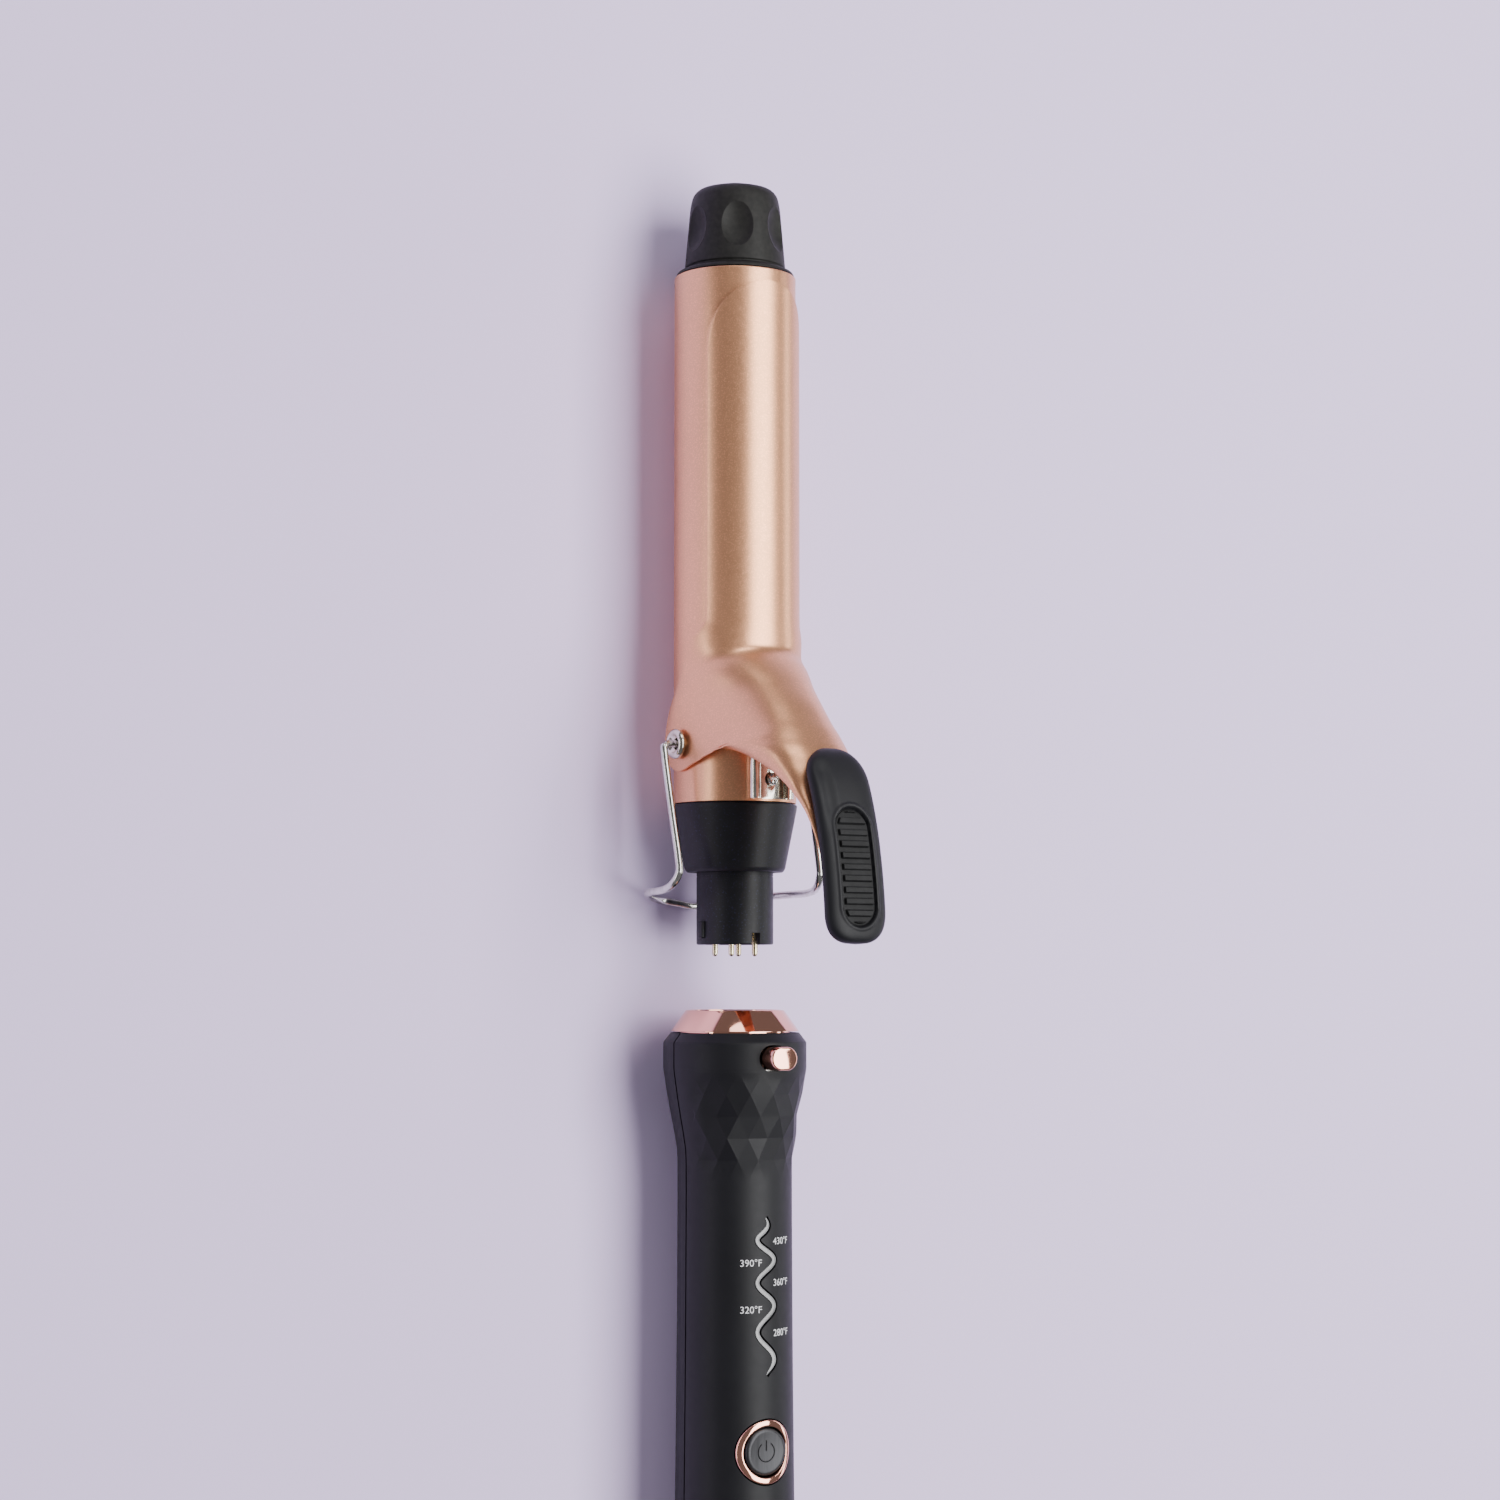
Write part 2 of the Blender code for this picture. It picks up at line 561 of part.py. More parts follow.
def spring_bracket(attachment):
    """A short saddle that the screw holds to the barrel, with a lip rolled up along each side."""
    section = arc((0, 0), BARREL_RADIUS + GAP, 112, 68, 8)
    rim = arc((0, 0), BARREL_RADIUS + GAP + 0.8, 72, 108, 8)
    lip_right = arc((5.3, 17.6), 1.5, -60, 120, 6)
    lip_left = arc((-5.3, 17.6), 1.5, 60, 240, 6)
    loop = section + lip_right + rim + lip_left
    bracket = outline("spring_bracket", attachment, [loop], 11.3, (0, 23.8, 0), "nickel", (90, 0, 0))
    boolean(bracket, rod("cut_bracket_hole", attachment, 1.4, 10, 20, (0, 23.2, 0), turn=UPRIGHT, steps=12))
    screw = [(0, 18.5), (1.1, 18.4), (1.6, 18.0), (1.6, 17.4), (1.0, 17.4), (1.0, 13.4), (0, 13.4)]
    smooth(turned("bracket_screw", attachment, screw, (0, 23.2, 0), "steel", UPRIGHT, 16))


# Clip: a sheet whose sections run from its middle line out to its edge on each side

LEVER_ROOT = 55.7
CLIP_END = 152.0
CLIP_ANGLE = 63.0
# the lever's middle line and edge, from its root to its end: (along, height) and (along, height, half width)
LEVER_SECTIONS = (
    ((60.0, 16.5), (59.0, 5.0, 16.5)),
    ((56.5, 16.8), (52.0, 1.5, 16.6)),
    ((53.5, 18.6), (46.0, -2.0, 16.6)),
    ((50.5, 21.2), (40.5, -5.2, 16.6)),
    ((47.5, 24.0), (36.0, -6.6, 16.6)),
    ((44.5, 26.8), (32.0, -7.0, 16.6)),
    ((41.8, 29.2), (28.2, -5.4, 16.6)),
    ((39.2, 31.6), (25.9, -2.4, 16.6)),
    ((36.8, 33.7), (25.6, 1.6, 16.6)),
    ((34.6, 35.6), (28.0, 6.2, 16.4)),
    ((32.2, 37.6), (31.4, 12.0, 15.6)),
    ((29.6, 39.6), (31.0, 20.0, 14.2)),
    ((26.6, 41.0), (27.2, 29.6, 12.0)),
    ((22.4, 42.6), (22.0, 37.4, 9.8)),
    ((16.0, 45.2), (16.0, 43.2, 8.2)),
    ((9.0, 47.3), (9.0, 46.4, 7.2)),
    ((2.0, 48.6), (2.0, 48.1, 6.0)),
)


def clip_point(top, edge, share):
    """A point of a lever section, kept off the barrel by the sheet's own radius."""
    turn = share * pi / 2
    drop = 1 - cos(turn) ** 0.8 if share < 1 else 1.0
    x = edge[2] * sin(turn) ** 0.75
    y = top[0] + (edge[0] - top[0]) * drop
    z = top[1] + (edge[1] - top[1]) * drop
    reach = sqrt(x * x + z * z)
    if reach < CLIP_RADIUS:
        x, z = x * CLIP_RADIUS / reach, z * CLIP_RADIUS / reach
    return x, y, z


def blade_sections():
    """Round sections of the blade, narrowing to a rounded end."""
    sections = []
    tip_round = 19.0
    for index in range(9):
        turn = radians(90 * index / 8)
        along = CLIP_END - tip_round * (1 - sin(turn))
        angle = CLIP_ANGLE * max(cos(turn), 0.06)
        sections.append((along, angle))
    sections = sections[::-1]
    steps = 8
    root = LEVER_ROOT + 9
    body = CLIP_END - tip_round
    for index in range(1, steps + 1):
        along = body + (root - body) * index / steps
        sections.append((along, CLIP_ANGLE))
    return sections


def clip_plate(clip):
    work = bmesh.new()
    half_steps = 6
    rows = []
    for along, angle in blade_sections():
        row = []
        for index in range(-half_steps, half_steps + 1):
            turn = radians(angle * index / half_steps)
            row.append((CLIP_RADIUS * sin(turn), along, CLIP_RADIUS * cos(turn)))
        rows.append(row)
    for top, edge in LEVER_SECTIONS:
        row = []
        for index in range(-half_steps, half_steps + 1):
            x, y, z = clip_point(top, edge, abs(index) / half_steps)
            row.append((x if index >= 0 else -x, y, z))
        rows.append(row)
    grid = [[work.verts.new((x * MM, (y - PIVOT_AT) * MM, z * MM)) for x, y, z in row] for row in rows]
    for row, after in zip(grid, grid[1:]):
        for index in range(2 * half_steps):
            work.faces.new((row[index], row[index + 1], after[index + 1], after[index]))
    plate = place(mesh_from(work, "clip_plate"), "clip_plate", clip, (0, 0, 0), "rose_gold")
    wall = plate.modifiers.new("sheet", "SOLIDIFY")
    wall.thickness = SHEET * MM
    wall.offset = 0
    boolean(plate, rod("cut_ear_holes", clip, 2.0 + GAP, -20, 20, turn=ALONG_X, steps=16))
    smooth(plate)


THUMB_STATIONS = ((28.6, 41.6, 3.8, 1.2), (26.8, 43.4, 7.2, 2.1), (20.0, 47.2, 8.7, 2.5), (10.0, 50.4, 8.9, 2.6),
                  (0.0, 52.4, 8.9, 2.6), (-10.0, 53.6, 8.7, 2.6), (-17.0, 53.9, 7.2, 2.3), (-19.0, 53.8, 3.8, 1.4))
PAD_STATIONS = ((13.6, 52.2, 3.0, 0.5), (11.6, 52.8, 4.4, 0.7), (4.0, 54.4, 4.7, 0.7), (-6.0, 55.9, 4.7, 0.7),
                (-12.6, 56.5, 4.4, 0.7), (-14.6, 56.5, 3.0, 0.5))


def thumb_rest(clip):
    stations = [(y - PIVOT_AT, z, wide, thick) for y, z, wide, thick in THUMB_STATIONS]
    rest = rounded_bar("thumb_rest", clip, stations, "black_plastic")
    pocket = [(y - PIVOT_AT, z + 0.3, wide + GAP, thick + 0.65) for y, z, wide, thick in PAD_STATIONS]
    cutter = rounded_bar("cut_pad_pocket", clip, pocket, None)
    boolean(rest, cutter)
    smooth(rest, 50)
    stations = [(y - PIVOT_AT, z, wide, thick) for y, z, wide, thick in PAD_STATIONS]
    smooth(rounded_bar("thumb_pad", clip, stations, "rubber"), 60)


# Stand

STAND_ROUTE = ((14.9, 0, 0), (19.6, 0, 0), (21.3, -0.6, 0.2), (21.8, -2.4, 0.6), (21.7, -16, 3.8), (21.5, -30, 7.2),
               (21.6, -33.5, 7.2), (22.2, -36.2, 4.8), (22.5, -37.4, 1.0))


def wire_stand(stand):
    side = list(STAND_ROUTE)
    foot = []
    for index in range(1, 8):
        turn = radians(90 - 11.25 * index)
        wide = STAND_WIDTH * sin(turn)
        drop = min(STAND_WIDTH * cos(turn), STAND_REACH)
        foot.append((wide, -37.6 - 3.2 * (1 - sin(turn)), -drop))
    middle = [(0, -40.8, -STAND_REACH)]
    right = side + foot
    left = [(-x, y, z) for x, y, z in right]
    wire("wire_stand", stand, right + middle + left[::-1], WIRE_RADIUS, "steel")


def leaf_spring(attachment):
    """A folded leaf under the lever: it lies along the barrel, turns back on itself and lifts the lever."""
    low = BARREL_RADIUS + GAP + 1.2
    middle = [(30.2, low), (38.0, low + 0.4)] + arc((39.0, low + 2.8), 2.4, -80, 60, 6) + [(33.0, 31.5)]
    thick = 0.25
    over = [(y, z + thick) for y, z in middle[:2]] + arc((39.0, low + 2.8), 2.4 - thick, -80, 60, 6)
    over += [(33.0 - thick, 31.5 - thick)]
    under = [(y, z - thick) for y, z in middle[:2]] + arc((39.0, low + 2.8), 2.4 + thick, -80, 60, 6)
    under += [(33.0 + thick, 31.5 + thick)]
    loop = under + over[::-1]
    outline("leaf_spring", attachment, [loop], 6, (0, 0, 0), "steel", (90, 0, 90))


def build():
    clear_scene()
    handle = frame_empty("handle_axis", COLLAR_Y)
    attachment = frame_empty("attachment_axis", SEAT_Y)
    clip = frame_empty("clip_pivot", SEAT_Y + PIVOT_AT)
    stand = frame_empty("stand_pivot", SEAT_Y + PIVOT_AT)
    collar_ring(handle)
    socket_housing(handle)
    contact_block(handle)
    handle_shells(handle)
    light_strip(handle)
    power_button(handle)
    circuit_board(handle)
    release_button(handle)
    tail(handle)
    base_cone(attachment)
    plug_body(attachment)
    barrel(attachment)
    cool_tip(attachment)
    spring_bracket(attachment)
    leaf_spring(attachment)
    clip_plate(clip)
    thumb_rest(clip)
    wire_stand(stand)


build()
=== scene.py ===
"""Finish of the curling iron: the pulled-off barrel with its spring clip and wire stand, and its handle."""

import json
from math import atan2, cos, pi, radians, sin, sqrt

import bpy
from bpy.props import FloatProperty, FloatVectorProperty, PointerProperty
from mathutils import Matrix, Vector


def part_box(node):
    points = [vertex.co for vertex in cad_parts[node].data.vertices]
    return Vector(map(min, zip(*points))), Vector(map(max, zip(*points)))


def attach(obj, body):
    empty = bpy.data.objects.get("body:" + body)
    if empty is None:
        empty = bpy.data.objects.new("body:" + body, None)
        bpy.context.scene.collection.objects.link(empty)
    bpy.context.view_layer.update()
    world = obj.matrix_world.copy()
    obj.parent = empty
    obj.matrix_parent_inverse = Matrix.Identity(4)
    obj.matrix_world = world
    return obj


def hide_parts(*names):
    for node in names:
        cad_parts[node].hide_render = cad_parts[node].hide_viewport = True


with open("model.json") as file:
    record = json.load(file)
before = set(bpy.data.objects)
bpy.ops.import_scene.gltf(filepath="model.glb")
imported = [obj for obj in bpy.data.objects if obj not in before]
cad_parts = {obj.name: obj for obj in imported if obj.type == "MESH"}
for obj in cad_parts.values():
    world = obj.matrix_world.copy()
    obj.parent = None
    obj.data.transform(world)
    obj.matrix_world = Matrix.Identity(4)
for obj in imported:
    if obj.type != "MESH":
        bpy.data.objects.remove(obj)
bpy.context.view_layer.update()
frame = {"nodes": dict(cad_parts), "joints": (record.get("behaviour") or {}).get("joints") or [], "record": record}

bl_info = {
    "name": "Curling iron finish",
    "version": (1, 0, 0),
    "blender": (4, 5, 0),
    "location": "View3D > Sidebar > Curling iron",
    "description": "Models the visible pieces of a curling iron around its working frame",
    "category": "Object",
}

MM = 0.001
NODES = frame["nodes"]

# Stations of the frame: the common axis, the collar's top, the seat of the base cone and the clip's pivot
AXIS_Z = sum(corner.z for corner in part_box("collar_ring")) / 2
COLLAR_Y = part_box("collar_ring")[1].y
SEAT_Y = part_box("base_cone")[0].y
PIVOT_Y = next(joint for joint in frame["joints"] if joint["name"] == "clip_hinge")["pos_m"][1]
PIVOT_AT = (PIVOT_Y - SEAT_Y) / MM
BARREL_END = (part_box("barrel_tube")[1].y - SEAT_Y) / MM
TIP_TOP = (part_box("cool_tip")[1].y - SEAT_Y) / MM
DISC_TOP = (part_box("tip_end_disc")[1].y - SEAT_Y) / MM
HANDLE_END = (COLLAR_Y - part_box("tail_cap")[1].y) / MM

# Sizes in millimetres
BARREL_RADIUS = 15.85
BARREL_BORE = 15.05
CONE_HEIGHT = 17.3
PLUG_RADIUS = 9.9
PLUG_LENGTH = 18.6
PIN_CIRCLE = 5.2
PIN_RADIUS = 0.75
SHEET = 0.6
CLIP_RADIUS = 16.5
CLIP_END = 151.8
CLIP_ANGLE = 60.0
GRIP_RADIUS = 14.7
POWER_BACK = 110.0
STRIP_START = 52.0
STRIP_LENGTH = 39.0
RIVET_BORE = 2.35
WELD = 0.002
BUTTON_BACK = 12
BUTTON_FLAT = 1.8
SCREWS_BACK = (44.0, 142.0)


# Settings

class BarrelSettings(bpy.types.PropertyGroup):
    colour: FloatVectorProperty(name="Rose gold", description="Colour of the barrel and clip",
                                subtype="COLOR", size=3, min=0, max=1, default=(0.76, 0.375, 0.205))
    roughness: FloatProperty(name="Satin", description="Roughness of the barrel's coating",
                             subtype="FACTOR", min=0, max=1, default=0.31)


class HandleSettings(bpy.types.PropertyGroup):
    colour: FloatVectorProperty(name="Soft black", description="Colour of the handle's soft-touch skin",
                                subtype="COLOR", size=3, min=0, max=1, default=(0.0055, 0.0055, 0.0072))
    relief: FloatProperty(name="Facets", description="How far the facets' corners stand in and out",
                          subtype="DISTANCE", unit="LENGTH", default=0.00045)
    plating: FloatVectorProperty(name="Plating", description="Colour of the polished trim",
                                 subtype="COLOR", size=3, min=0, max=1, default=(0.92, 0.46, 0.34))


class StageSettings(bpy.types.PropertyGroup):
    floor: FloatVectorProperty(name="Floor", description="Colour of the floor",
                               subtype="COLOR", size=3, min=0, max=1, default=(0.80, 0.65, 0.99))
    camera_distance: FloatProperty(name="Camera distance", description="Distance of the lens from the axis",
                                   subtype="DISTANCE", unit="LENGTH", default=0.756)
    camera_height: FloatProperty(name="Camera elevation", description="Angle of the view above the floor",
                                 subtype="ANGLE", unit="ROTATION", default=radians(57))


# Finishes

class Finish:
    """A material's nodes, with short calls for the few kinds this iron needs."""

    def __init__(self, name):
        self.material = bpy.data.materials.new(name)
        self.material.use_nodes = True
        self.nodes = self.material.node_tree.nodes
        self.links = self.material.node_tree.links
        self.shader = self.nodes["Principled BSDF"]
        self.place = self.nodes.new("ShaderNodeTexCoord").outputs["Object"]

    def set(self, **values):
        for socket, value in values.items():
            self.shader.inputs[socket.replace("_", " ")].default_value = value
        return self

    def stretched(self, x, y, z):
        mapping = self.nodes.new("ShaderNodeMapping")
        mapping.inputs["Scale"].default_value = (x, y, z)
        self.links.new(self.place, mapping.inputs["Vector"])
        return mapping.outputs["Vector"]

    def noise(self, scale, detail=4, vector=None):
        node = self.nodes.new("ShaderNodeTexNoise")
        node.inputs["Scale"].default_value = scale
        node.inputs["Detail"].default_value = detail
        self.links.new(vector or self.place, node.inputs["Vector"])
        return node.outputs["Fac"]

    def cells(self, scale, feature="F1"):
        node = self.nodes.new("ShaderNodeTexVoronoi")
        node.feature = feature
        node.inputs["Scale"].default_value = scale
        self.links.new(self.place, node.inputs["Vector"])
        return node.outputs

    def ramp(self, value, *stops):
        node = self.nodes.new("ShaderNodeValToRGB")
        marks = node.color_ramp.elements
        while len(marks) < len(stops):
            marks.new(0.5)
        for mark, (at, colour) in zip(marks, stops):
            mark.position = at
            mark.color = (*colour, 1) if len(colour) == 3 else colour
        self.links.new(value, node.inputs["Fac"])
        return node.outputs["Color"]

    def mix(self, share, one, other):
        node = self.nodes.new("ShaderNodeMix")
        node.data_type = "RGBA"
        self.links.new(share, node.inputs["Factor"])
        for socket, value in ((node.inputs[6], one), (node.inputs[7], other)):
            if hasattr(value, "node"):
                self.links.new(value, socket)
            else:
                socket.default_value = (*value, 1)
        return node.outputs[2]

    def spread(self, value, low, high):
        node = self.nodes.new("ShaderNodeMapRange")
        node.inputs["To Min"].default_value = low
        node.inputs["To Max"].default_value = high
        self.links.new(value, node.inputs["Value"])
        return node.outputs["Result"]

    def colour(self, value):
        self.links.new(value, self.shader.inputs["Base Color"])
        return self

    def rough(self, value, low, high):
        self.links.new(self.spread(value, low, high), self.shader.inputs["Roughness"])
        return self

    def bump(self, height, distance, strength=1.0, base=None):
        node = self.nodes.new("ShaderNodeBump")
        node.inputs["Strength"].default_value = strength
        node.inputs["Distance"].default_value = distance
        self.links.new(height, node.inputs["Height"])
        if base is not None:
            self.links.new(base, node.inputs["Normal"])
        self.links.new(node.outputs["Normal"], self.shader.inputs["Normal"])
        return node.outputs["Normal"]


def shade_of(colour, factor):
    return tuple(min(1, value * factor) for value in colour)


def satin_rose_gold(name):
    """A metallic coating: fine flakes that catch the light over a soft satin."""
    colour = bpy.context.scene.iron_barrel.colour
    smooth = bpy.context.scene.iron_barrel.roughness
    made = Finish(name).set(Metallic=0.85, Specular_IOR_Level=0.3)
    drift = made.ramp(made.noise(22, 3), (0.3, shade_of(colour, 0.95)), (0.7, shade_of(colour, 1.05)))
    flakes = made.cells(3800)
    sparkle = made.ramp(flakes["Distance"], (0.0, (1, 1, 1)), (0.34, (0, 0, 0)))
    bright = made.ramp(made.noise(2600, 2), (0.50, (0, 0, 0)), (0.68, (1, 1, 1)))
    lit = made.mix(bright, drift, shade_of(colour, 1.26))
    made.colour(made.mix(sparkle, lit, shade_of(colour, 1.12)))
    made.rough(made.noise(900, 4), smooth - 0.06, smooth + 0.09)
    grain = made.bump(made.noise(3000, 3), 0.00003, 0.30)
    made.bump(made.noise(60, 2), 0.0003, 0.05, grain)
    return made.material


def polished_rose_gold(name):
    colour = bpy.context.scene.iron_handle.plating
    made = Finish(name).set(Metallic=1.0)
    made.colour(made.ramp(made.noise(90, 3), (0.3, shade_of(colour, 0.96)), (0.7, shade_of(colour, 1.03))))
    made.rough(made.noise(700, 5, made.stretched(1, 0.2, 1)), 0.035, 0.10)
    made.bump(made.noise(120, 2), 0.0004, 0.06)
    return made.material


def mottled(grain, dark, pale, rough, bump=None, **values):
    """A finish mottled between two colours. A grain is (scale, detail), and a colour comes with its place."""
    def make(name):
        made = Finish(name).set(**values)
        made.colour(made.ramp(made.noise(*grain), dark, pale))
        made.rough(made.noise(*rough[0]), *rough[1:])
        if bump:
            made.bump(made.noise(*bump[0]), *bump[1:])
        return made.material
    return make


def brushed(scale, run, dark, pale, rough, bump=None, **values):
    """A finish brushed along the iron, whose lines give its colour, roughness and bump."""
    def make(name):
        made = Finish(name).set(**values)
        lines = made.noise(scale, 4, made.stretched(1, run, 1))
        made.colour(made.ramp(lines, (0.3, dark), (0.7, pale)))
        made.rough(lines, *rough)
        if bump:
            made.bump(lines, *bump)
        return made.material
    return make


def soft_black(name):
    """Soft-touch skin over the grip: an even fine grain, a little paler where it is handled."""
    colour = bpy.context.scene.iron_handle.colour
    made = Finish(name).set(Specular_IOR_Level=0.26)
    handled = made.noise(34, 4)
    made.colour(made.ramp(handled, (0.3, colour), (0.75, shade_of(colour, 1.5))))
    made.rough(made.noise(420, 4), 0.44, 0.56)
    made.bump(made.noise(5200, 2), 0.00002, 0.22)
    return made.material


def moulded_black(name):
    """Moulded plastic with fine flecks in it."""
    made = Finish(name).set(Specular_IOR_Level=0.26)
    flecks = made.ramp(made.noise(2300, 2), (0.60, (0, 0, 0)), (0.72, (1, 1, 1)))
    ground = made.ramp(made.noise(50, 3), (0.3, (0.006, 0.006, 0.008)), (0.7, (0.010, 0.010, 0.012)))
    made.colour(made.mix(flecks, ground, (0.018, 0.018, 0.042)))
    made.rough(made.noise(600, 4), 0.38, 0.52)
    made.bump(made.noise(2600, 3), 0.00003, 0.25)
    return made.material


def solder_board(name):
    made = Finish(name)
    tracks = made.ramp(made.cells(420, "DISTANCE_TO_EDGE")["Distance"], (0.02, (0.05, 0.26, 0.11)),
                       (0.06, (0.012, 0.10, 0.045)))
    made.colour(tracks)
    made.rough(made.noise(400, 3), 0.30, 0.45)
    return made.material


NICKEL = (0.80, 0.74, 0.64)
SATIN_GREY = (0.30, 0.30, 0.31)
FINISHES = {
    "rose_satin": satin_rose_gold,
    "rose_mirror": polished_rose_gold,
    "soft_black": soft_black,
    "black_plastic": moulded_black,
    "board_green": solder_board,
    "steel": brushed(900, 0.06, (0.50, 0.49, 0.46), (0.74, 0.73, 0.70), (0.10, 0.26), (0.00004, 0.2),
                     Metallic=1.0),
    "cap_grey": brushed(1400, 0.08, (0.034, 0.034, 0.037), (0.050, 0.050, 0.054), (0.34, 0.48),
                        Metallic=0.75),
    "nickel": mottled((260, 5), (0.34, shade_of(NICKEL, 0.72)), (0.62, NICKEL), ((900, 4), 0.08, 0.24),
                      ((1100, 3), 0.00005, 0.25), Metallic=1.0),
    "brass": mottled((500, 4), (0.3, (0.62, 0.50, 0.30)), (0.7, (0.86, 0.76, 0.55)), ((800, 3), 0.12, 0.28),
                     Metallic=1.0),
    "aluminium": mottled((400, 5), (0.3, (0.60, 0.60, 0.61)), (0.7, (0.76, 0.76, 0.77)),
                         ((700, 4), 0.38, 0.55), ((900, 4), 0.0001, 0.3), Metallic=1.0),
    "tip_plastic": mottled((700, 6), (0.35, (0.0095, 0.0092, 0.0085)), (0.65, (0.0150, 0.0143, 0.0130)),
                           ((300, 4), 0.50, 0.66), ((2600, 4), 0.00004, 0.25), Specular_IOR_Level=0.24),
    "rubber": mottled((260, 5), (0.3, (0.006, 0.006, 0.0065)), (0.7, (0.012, 0.012, 0.013)),
                      ((800, 4), 0.52, 0.70), ((3600, 3), 0.00003, 0.35), Specular_IOR_Level=0.22),
    "grey_plastic": mottled((180, 4), (0.3, shade_of(SATIN_GREY, 0.92)), (0.7, shade_of(SATIN_GREY, 1.07)),
                            ((700, 4), 0.32, 0.48), ((3000, 2), 0.00002, 0.2)),
    "smoke_clear": mottled((110, 2), (0.3, (0.15, 0.15, 0.155)), (0.7, (0.27, 0.27, 0.28)),
                           ((900, 3), 0.22, 0.36), Coat_Weight=0.6, Coat_Roughness=0.08, IOR=1.49),
    "label_ink": mottled((4000, 3), (0.3, (0.62, 0.62, 0.64)), (0.6, (0.82, 0.82, 0.84)),
                         ((2000, 2), 0.40, 0.55)),
    "ceramic": mottled((500, 5), (0.3, (0.74, 0.71, 0.64)), (0.7, (0.86, 0.84, 0.79)), ((900, 4), 0.50, 0.68),
                       ((1800, 4), 0.00005, 0.3)),
}


def finish(name):
    """The finish of that name, under a name the frame's own materials don't have."""
    own = "iron_" + name
    return bpy.data.materials.get(own) or FINISHES[name](own)


# Modelling by hand: helpers

def start_clear():
    if bpy.context.object and bpy.context.object.mode != "OBJECT":
        bpy.ops.object.mode_set(mode="OBJECT")
    bpy.ops.object.select_all(action="DESELECT")


def pick(piece):
    start_clear()
    piece.select_set(True)
    bpy.context.view_layer.objects.active = piece
    return piece


def edit(piece):
    pick(piece)
    bpy.ops.object.mode_set(mode="EDIT")
    bpy.ops.mesh.select_mode(type="VERT")
    bpy.ops.mesh.select_all(action="SELECT")


def done_editing():
    bpy.ops.object.mode_set(mode="OBJECT")


def sealed(piece, weld=0.0):
    """Join the points that are nearer than a weld in millimetres, and turn the faces outward."""
    edit(piece)
    if weld:
        bpy.ops.mesh.remove_doubles(threshold=weld * MM)
    bpy.ops.mesh.normals_make_consistent(inside=False)
    done_editing()
    return piece


def pick_open_edges(piece):
    edit(piece)
    bpy.ops.mesh.select_all(action="DESELECT")
    bpy.ops.mesh.select_mode(type="EDGE")
    bpy.ops.mesh.select_non_manifold()


def settle(piece, name, kind, body, *nodes, angle=35):
    """Put a piece's place in its mesh, give it its finish and hang it on its body."""
    pick(piece)
    bpy.ops.object.transform_apply(location=True, rotation=True, scale=True)
    bpy.ops.object.shade_smooth_by_angle(angle=radians(angle))
    piece.name = name
    piece.data.name = name
    piece.data.materials.clear()
    piece.data.materials.append(finish(kind))
    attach(piece, body)
    if nodes:
        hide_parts(*nodes)
    return piece


def softened(points, segments=4):
    """Round the corners of an outline: a point's third number is its corner's radius."""
    made = []
    for index, point in enumerate(points):
        if len(point) == 2:
            made.append(point)
            continue
        corner = Vector(point[:2])
        before = Vector(points[index - 1][:2]) - corner
        after = Vector(points[(index + 1) % len(points)][:2]) - corner
        reach = min(point[2], before.length * 0.48, after.length * 0.48)
        start = corner + before.normalized() * reach
        end = corner + after.normalized() * reach
        for step in range(segments + 1):
            t = step / segments
            made.append(tuple(start * (1 - t) ** 2 + corner * 2 * t * (1 - t) + end * t ** 2))
    return made


def turned(points, place, along="Y", steps=96):
    """Spin an outline of (radius, along) millimetres about its axis. An outline off the axis is a ring."""
    points = softened(points)
    if min(point[0] for point in points) > 0:
        points = points + points[:1]
    ways = {"Y": (Vector((1, 0, 0)), Vector((0, 1, 0))), "Z": (Vector((1, 0, 0)), Vector((0, 0, 1))),
            "X": (Vector((0, 0, 1)), Vector((1, 0, 0))), "-X": (Vector((0, 0, 1)), Vector((-1, 0, 0)))}
    out, axis = ways[along]
    spots = [place + (out * radius + axis * height) * MM for radius, height in points]
    start_clear()
    bpy.ops.mesh.primitive_plane_add(size=MM, location=spots[0])
    bpy.ops.object.mode_set(mode="EDIT")
    bpy.ops.mesh.select_mode(type="VERT")
    bpy.ops.mesh.merge(type="CENTER")
    for spot, after in zip(spots, spots[1:]):
        bpy.ops.mesh.extrude_vertices_move(TRANSFORM_OT_translate={"value": after - spot})
    bpy.ops.mesh.select_all(action="SELECT")
    bpy.ops.mesh.spin(steps=steps, angle=2 * pi, center=place, axis=axis)
    piece = sealed(bpy.context.object, WELD)
    bpy.ops.object.transform_apply(location=True, rotation=True, scale=True)
    return piece


def carve(piece, tool, operation="DIFFERENCE"):
    pick(piece)
    bpy.ops.object.modifier_add(type="BOOLEAN")
    step = piece.modifiers[-1]
    step.object = tool
    step.operation = operation
    step.solver = "EXACT"
    bpy.ops.object.modifier_apply(modifier=step.name)
    bpy.data.objects.remove(tool)


def apply_step(piece, kind, **values):
    pick(piece)
    bpy.ops.object.modifier_add(type=kind)
    step = piece.modifiers[-1]
    for key, value in values.items():
        setattr(step, key, value)
    bpy.ops.object.modifier_apply(modifier=step.name)


def soften_edges(piece, width, segments=3, angle=30):
    apply_step(piece, "BEVEL", width=width * MM, segments=segments, limit_method="ANGLE",
               angle_limit=radians(angle))


def block(size, place):
    start_clear()
    bpy.ops.mesh.primitive_cube_add(size=1, location=place)
    piece = bpy.context.object
    piece.scale = [value * MM for value in size]
    bpy.ops.object.transform_apply(location=True, rotation=True, scale=True)
    return piece


